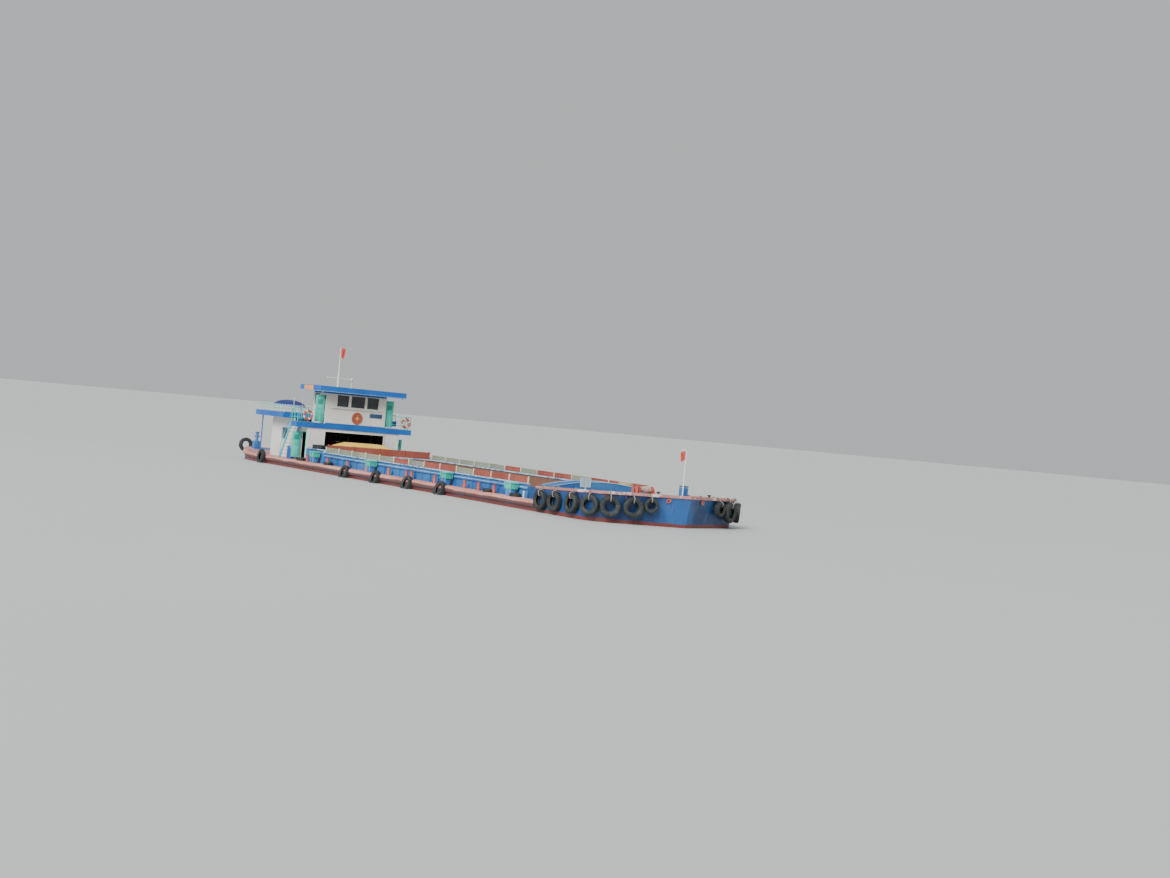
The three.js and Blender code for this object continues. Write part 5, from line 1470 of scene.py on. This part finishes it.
def makeCanopyCloth():
    r = canopy["radius"]
    shape = [(r * a, b) for a, b in canopy["profile"]]
    cloth = turned(shape, (0, 0, 0), "canopyCloth", steps=canopy["pleats"] * 6)
    # the hole at the crown is closed
    pick(cloth)
    bpy.ops.object.mode_set(mode="EDIT")
    bpy.ops.mesh.select_all(action="DESELECT")
    bpy.context.tool_settings.mesh_select_mode = (False, True, False)
    bpy.ops.mesh.select_non_manifold()
    bpy.ops.object.mode_set(mode="OBJECT")
    for edge in cloth.data.edges:
        reach = max(cloth.data.vertices[v].co.xy.length for v in edge.vertices)
        edge.select = edge.select and reach < r * 0.2 * mm
    bpy.ops.object.mode_set(mode="EDIT")
    bpy.ops.mesh.edge_face_add()
    bpy.ops.object.mode_set(mode="OBJECT")
    for vertex in cloth.data.vertices:
        out = vertex.co.xy.length / (r * mm)
        angle = math.atan2(vertex.co.y, vertex.co.x)
        ridge = abs(math.sin(angle * canopy["pleats"] / 2))
        vertex.co.z += (ridge - 0.5) * canopy["pleatDepth"] * mm * out
        vertex.co.z -= canopy["slack"] * mm * math.sin(math.pi * out) ** 2 * (0.5 + 0.5 * math.cos(angle * 8))
        vertex.co.xy *= 1 + 0.008 * (ridge - 0.6)
    cloth.data.transform(Matrix.Translation(metres((canopy["x"], canopy["y"], canopy["rim"]))))
    cloth.data.materials.append(materials["canopyEdge"])
    for face in cloth.data.polygons:
        out = math.hypot(face.center.x - canopy["x"] * mm, face.center.y - canopy["y"] * mm)
        face.material_index = 1 if out > r * canopy["edgeBand"] * mm else 0
    return cloth


def makeCanopy():
    x, y, low, high, reach = canopy["x"], canopy["y"], canopy["roof"], canopy["hoop"], canopy["radius"] - 40
    cloth = makeCanopyCloth()
    ready("canopy_cloth", [cloth], standsFor=["roof_canopy"], smooth=50)
    turns = [2 * math.pi * k / 40 for k in range(40)]
    hoop = [(x + reach * math.cos(turn), y + reach * math.sin(turn), high) for turn in turns]
    parts = [tube(hoop, 20, "mastWhite", closed=True, sides=8)]
    for sx in (-1, 1):
        for sy in (-1, 1):
            parts.append(tube([(x + sx * 640, y + sy * 640, low), (x + sx * 640, y + sy * 640, high - 25),
                               (x + sx * 800, y + sy * 760, high)], 24, "mastWhite", sides=10))
    ready("canopy_frame", parts)


makeCanopy()


# Small lamps and an aerial on the aft roof, and the water tank on its feet
aftRoof = {"z": 6131, "lamps": [(-17100, -3300, 900), (-20200, 1200, 700)], "aerial": (-16500, -2950),
           "tank": (-18600, 2100, 6490), "footX": (-18950, -18250), "footY": (1820, 2380)}


def makeRoofFittings():
    z = aftRoof["z"]
    parts = [turned([(0, 0), (60, 0), (60, 12), (20, 22), (17, height), (36, height + 8), (52, height + 44),
                     (48, height + 92), (20, height + 118), (0, height + 122)], (x, y, z), "mastWhite", steps=16)
             for x, y, height in aftRoof["lamps"]]
    x, y = aftRoof["aerial"]
    parts.append(tube([(x, y, z), (x, y, 7000), (x + 20, y, 7300)], 9, "mastWhite", sides=6))
    ready("roof_small_lamps", parts)
    tank = turned([(0, -560), (250, -560), (286, -500), (290, -200), (296, -190), (296, 190), (290, 200), (286, 500),
                   (250, 560), (0, 560)], aftRoof["tank"], "mastWhite", axis=(1, 0, 0), steps=28)
    y0, y1 = aftRoof["footY"]
    feet = [block((x - 40, y0, z), (x + 40, y1, z + 169), "fascia", 8) for x in aftRoof["footX"]]
    ready("water_tank", [tank, *feet])


makeRoofFittings()
print("mast and canopy")


# Yellow hipped cover over the skylight, with ribs on its hips and a grip on each side
cover = {"x0": -13600, "x1": -11400, "half": 1750, "z": 4070, "rim": 108, "rise": 288, "topX": 0.46, "topY": 0.655,
         "bevel": 22, "ribX": -12980}


def makeSkylight():
    x0, x1, z = cover["x0"], cover["x1"], cover["z"]
    clearSelection()
    bpy.ops.mesh.primitive_cube_add(size=1)
    lid = bpy.context.object
    lid.scale = ((x1 - x0 + 78) * mm, (2 * cover["half"] + 78) * mm, cover["rim"] * mm)
    lid.location = metres(((x0 + x1) / 2, 0, z + 56))
    chooseFaces(settle(lid), lambda face: face.normal.z > 0.5)
    bpy.ops.mesh.extrude_region_move(TRANSFORM_OT_translate={"value": (0, 0, cover["rise"] * mm)})
    bpy.ops.object.mode_set(mode="OBJECT")
    middle = (x0 + x1) / 2 * mm
    for vertex in lid.data.vertices:
        if vertex.co.z > (z + 200) * mm:
            vertex.co.x = middle + (vertex.co.x - middle) * cover["topX"]
            vertex.co.y *= cover["topY"]
    pick(lid)
    bpy.ops.object.mode_set(mode="EDIT")
    bpy.ops.mesh.select_all(action="SELECT")
    bpy.ops.mesh.bevel(offset=cover["bevel"] * mm, segments=3)
    bpy.ops.object.mode_set(mode="OBJECT")
    parts = [dress(lid, "yellow")]
    for sign in (-1, 1):
        parts.append(tube([(x0 + 160, sign * 1640, z + 128), (cover["ribX"], sign * 1090, z + 394)], 12, "yellow",
                          sides=6))
        grip = [(x1 - 20, 500, z + 60), (x1 + 66, 500, z + 70), (x1 + 66, 300, z + 70), (x1 - 20, 300, z + 60)]
        parts.append(tube([(x, sign * y, height) for x, y, height in grip], 11, "black", sides=8))
    ready("skylight_lid", parts, body="skylight_cover", standsFor=["skylight_cover"])


makeSkylight()


# Barrel by the stair, and the bollards on the quarters
barrelPlace = {"x": -15250, "y": -4050, "z": 3001, "bungY": -4190, "bungZ": 3843}
bollards = {"x": -22900, "y": 3350, "footX": (-23120, -22680), "footZ": (3250, 3800), "footHalf": 250,
            "plateX": (-23150, -22650), "plateHalf": 3620, "deckX": -23200, "deckZ": 3270, "deckSlope": 0.12}


def makeBarrel():
    shape = [(0, 0), (250, 0), (266, 14), (266, 262), (280, 274), (280, 296), (266, 308), (266, 552), (280, 564),
             (280, 586), (266, 598), (266, 836), (254, 858), (236, 858), (230, 842), (0, 842)]
    x = barrelPlace["x"]
    barrel = turned(shape, (x, barrelPlace["y"], barrelPlace["z"]), "barrel", steps=36)
    bung = turned([(0, 0), (34, 0), (34, 16), (26, 22), (0, 22)], (x, barrelPlace["bungY"], barrelPlace["bungZ"]),
                  "black", steps=14)
    ready("water_barrel", [barrel, bung], standsFor=["deck_barrel"])


def makeBollards():
    half, x = bollards["plateHalf"], bollards["x"]
    plate = block((bollards["plateX"][0], -half, 0), (bollards["plateX"][1], half, 40), "coaming", 8)
    for vertex in plate.data.vertices:
        along = vertex.co.x / mm - bollards["deckX"]
        vertex.co.z += (bollards["deckZ"] - bollards["deckSlope"] * along + 1) * mm
    parts = [plate]
    for sign in (-1, 1):
        y, reach = sign * bollards["y"], bollards["footHalf"]
        parts.append(block((bollards["footX"][0], y - reach, bollards["footZ"][0]),
                           (bollards["footX"][1], y + reach, bollards["footZ"][1]), "coaming", 36))
        parts.append(turned([(0, 0), (150, 0), (150, 16), (112, 30), (106, 60), (106, 560), (130, 580), (176, 596),
                             (180, 620), (170, 650), (120, 660), (0, 662)], (x, y, 3798), "coaming", steps=24))
        parts.append(turned([(0, -230), (34, -230), (40, -222), (40, 222), (34, 230), (0, 230)], (x, y, 4120),
                            "coaming", axis=(0, 1, 0), steps=14))
    ready("quarter_bollards", parts, standsFor=["stern_bollards"])


makeBarrel()
makeBollards()
print("stern fitted")

discard(tyreModel)
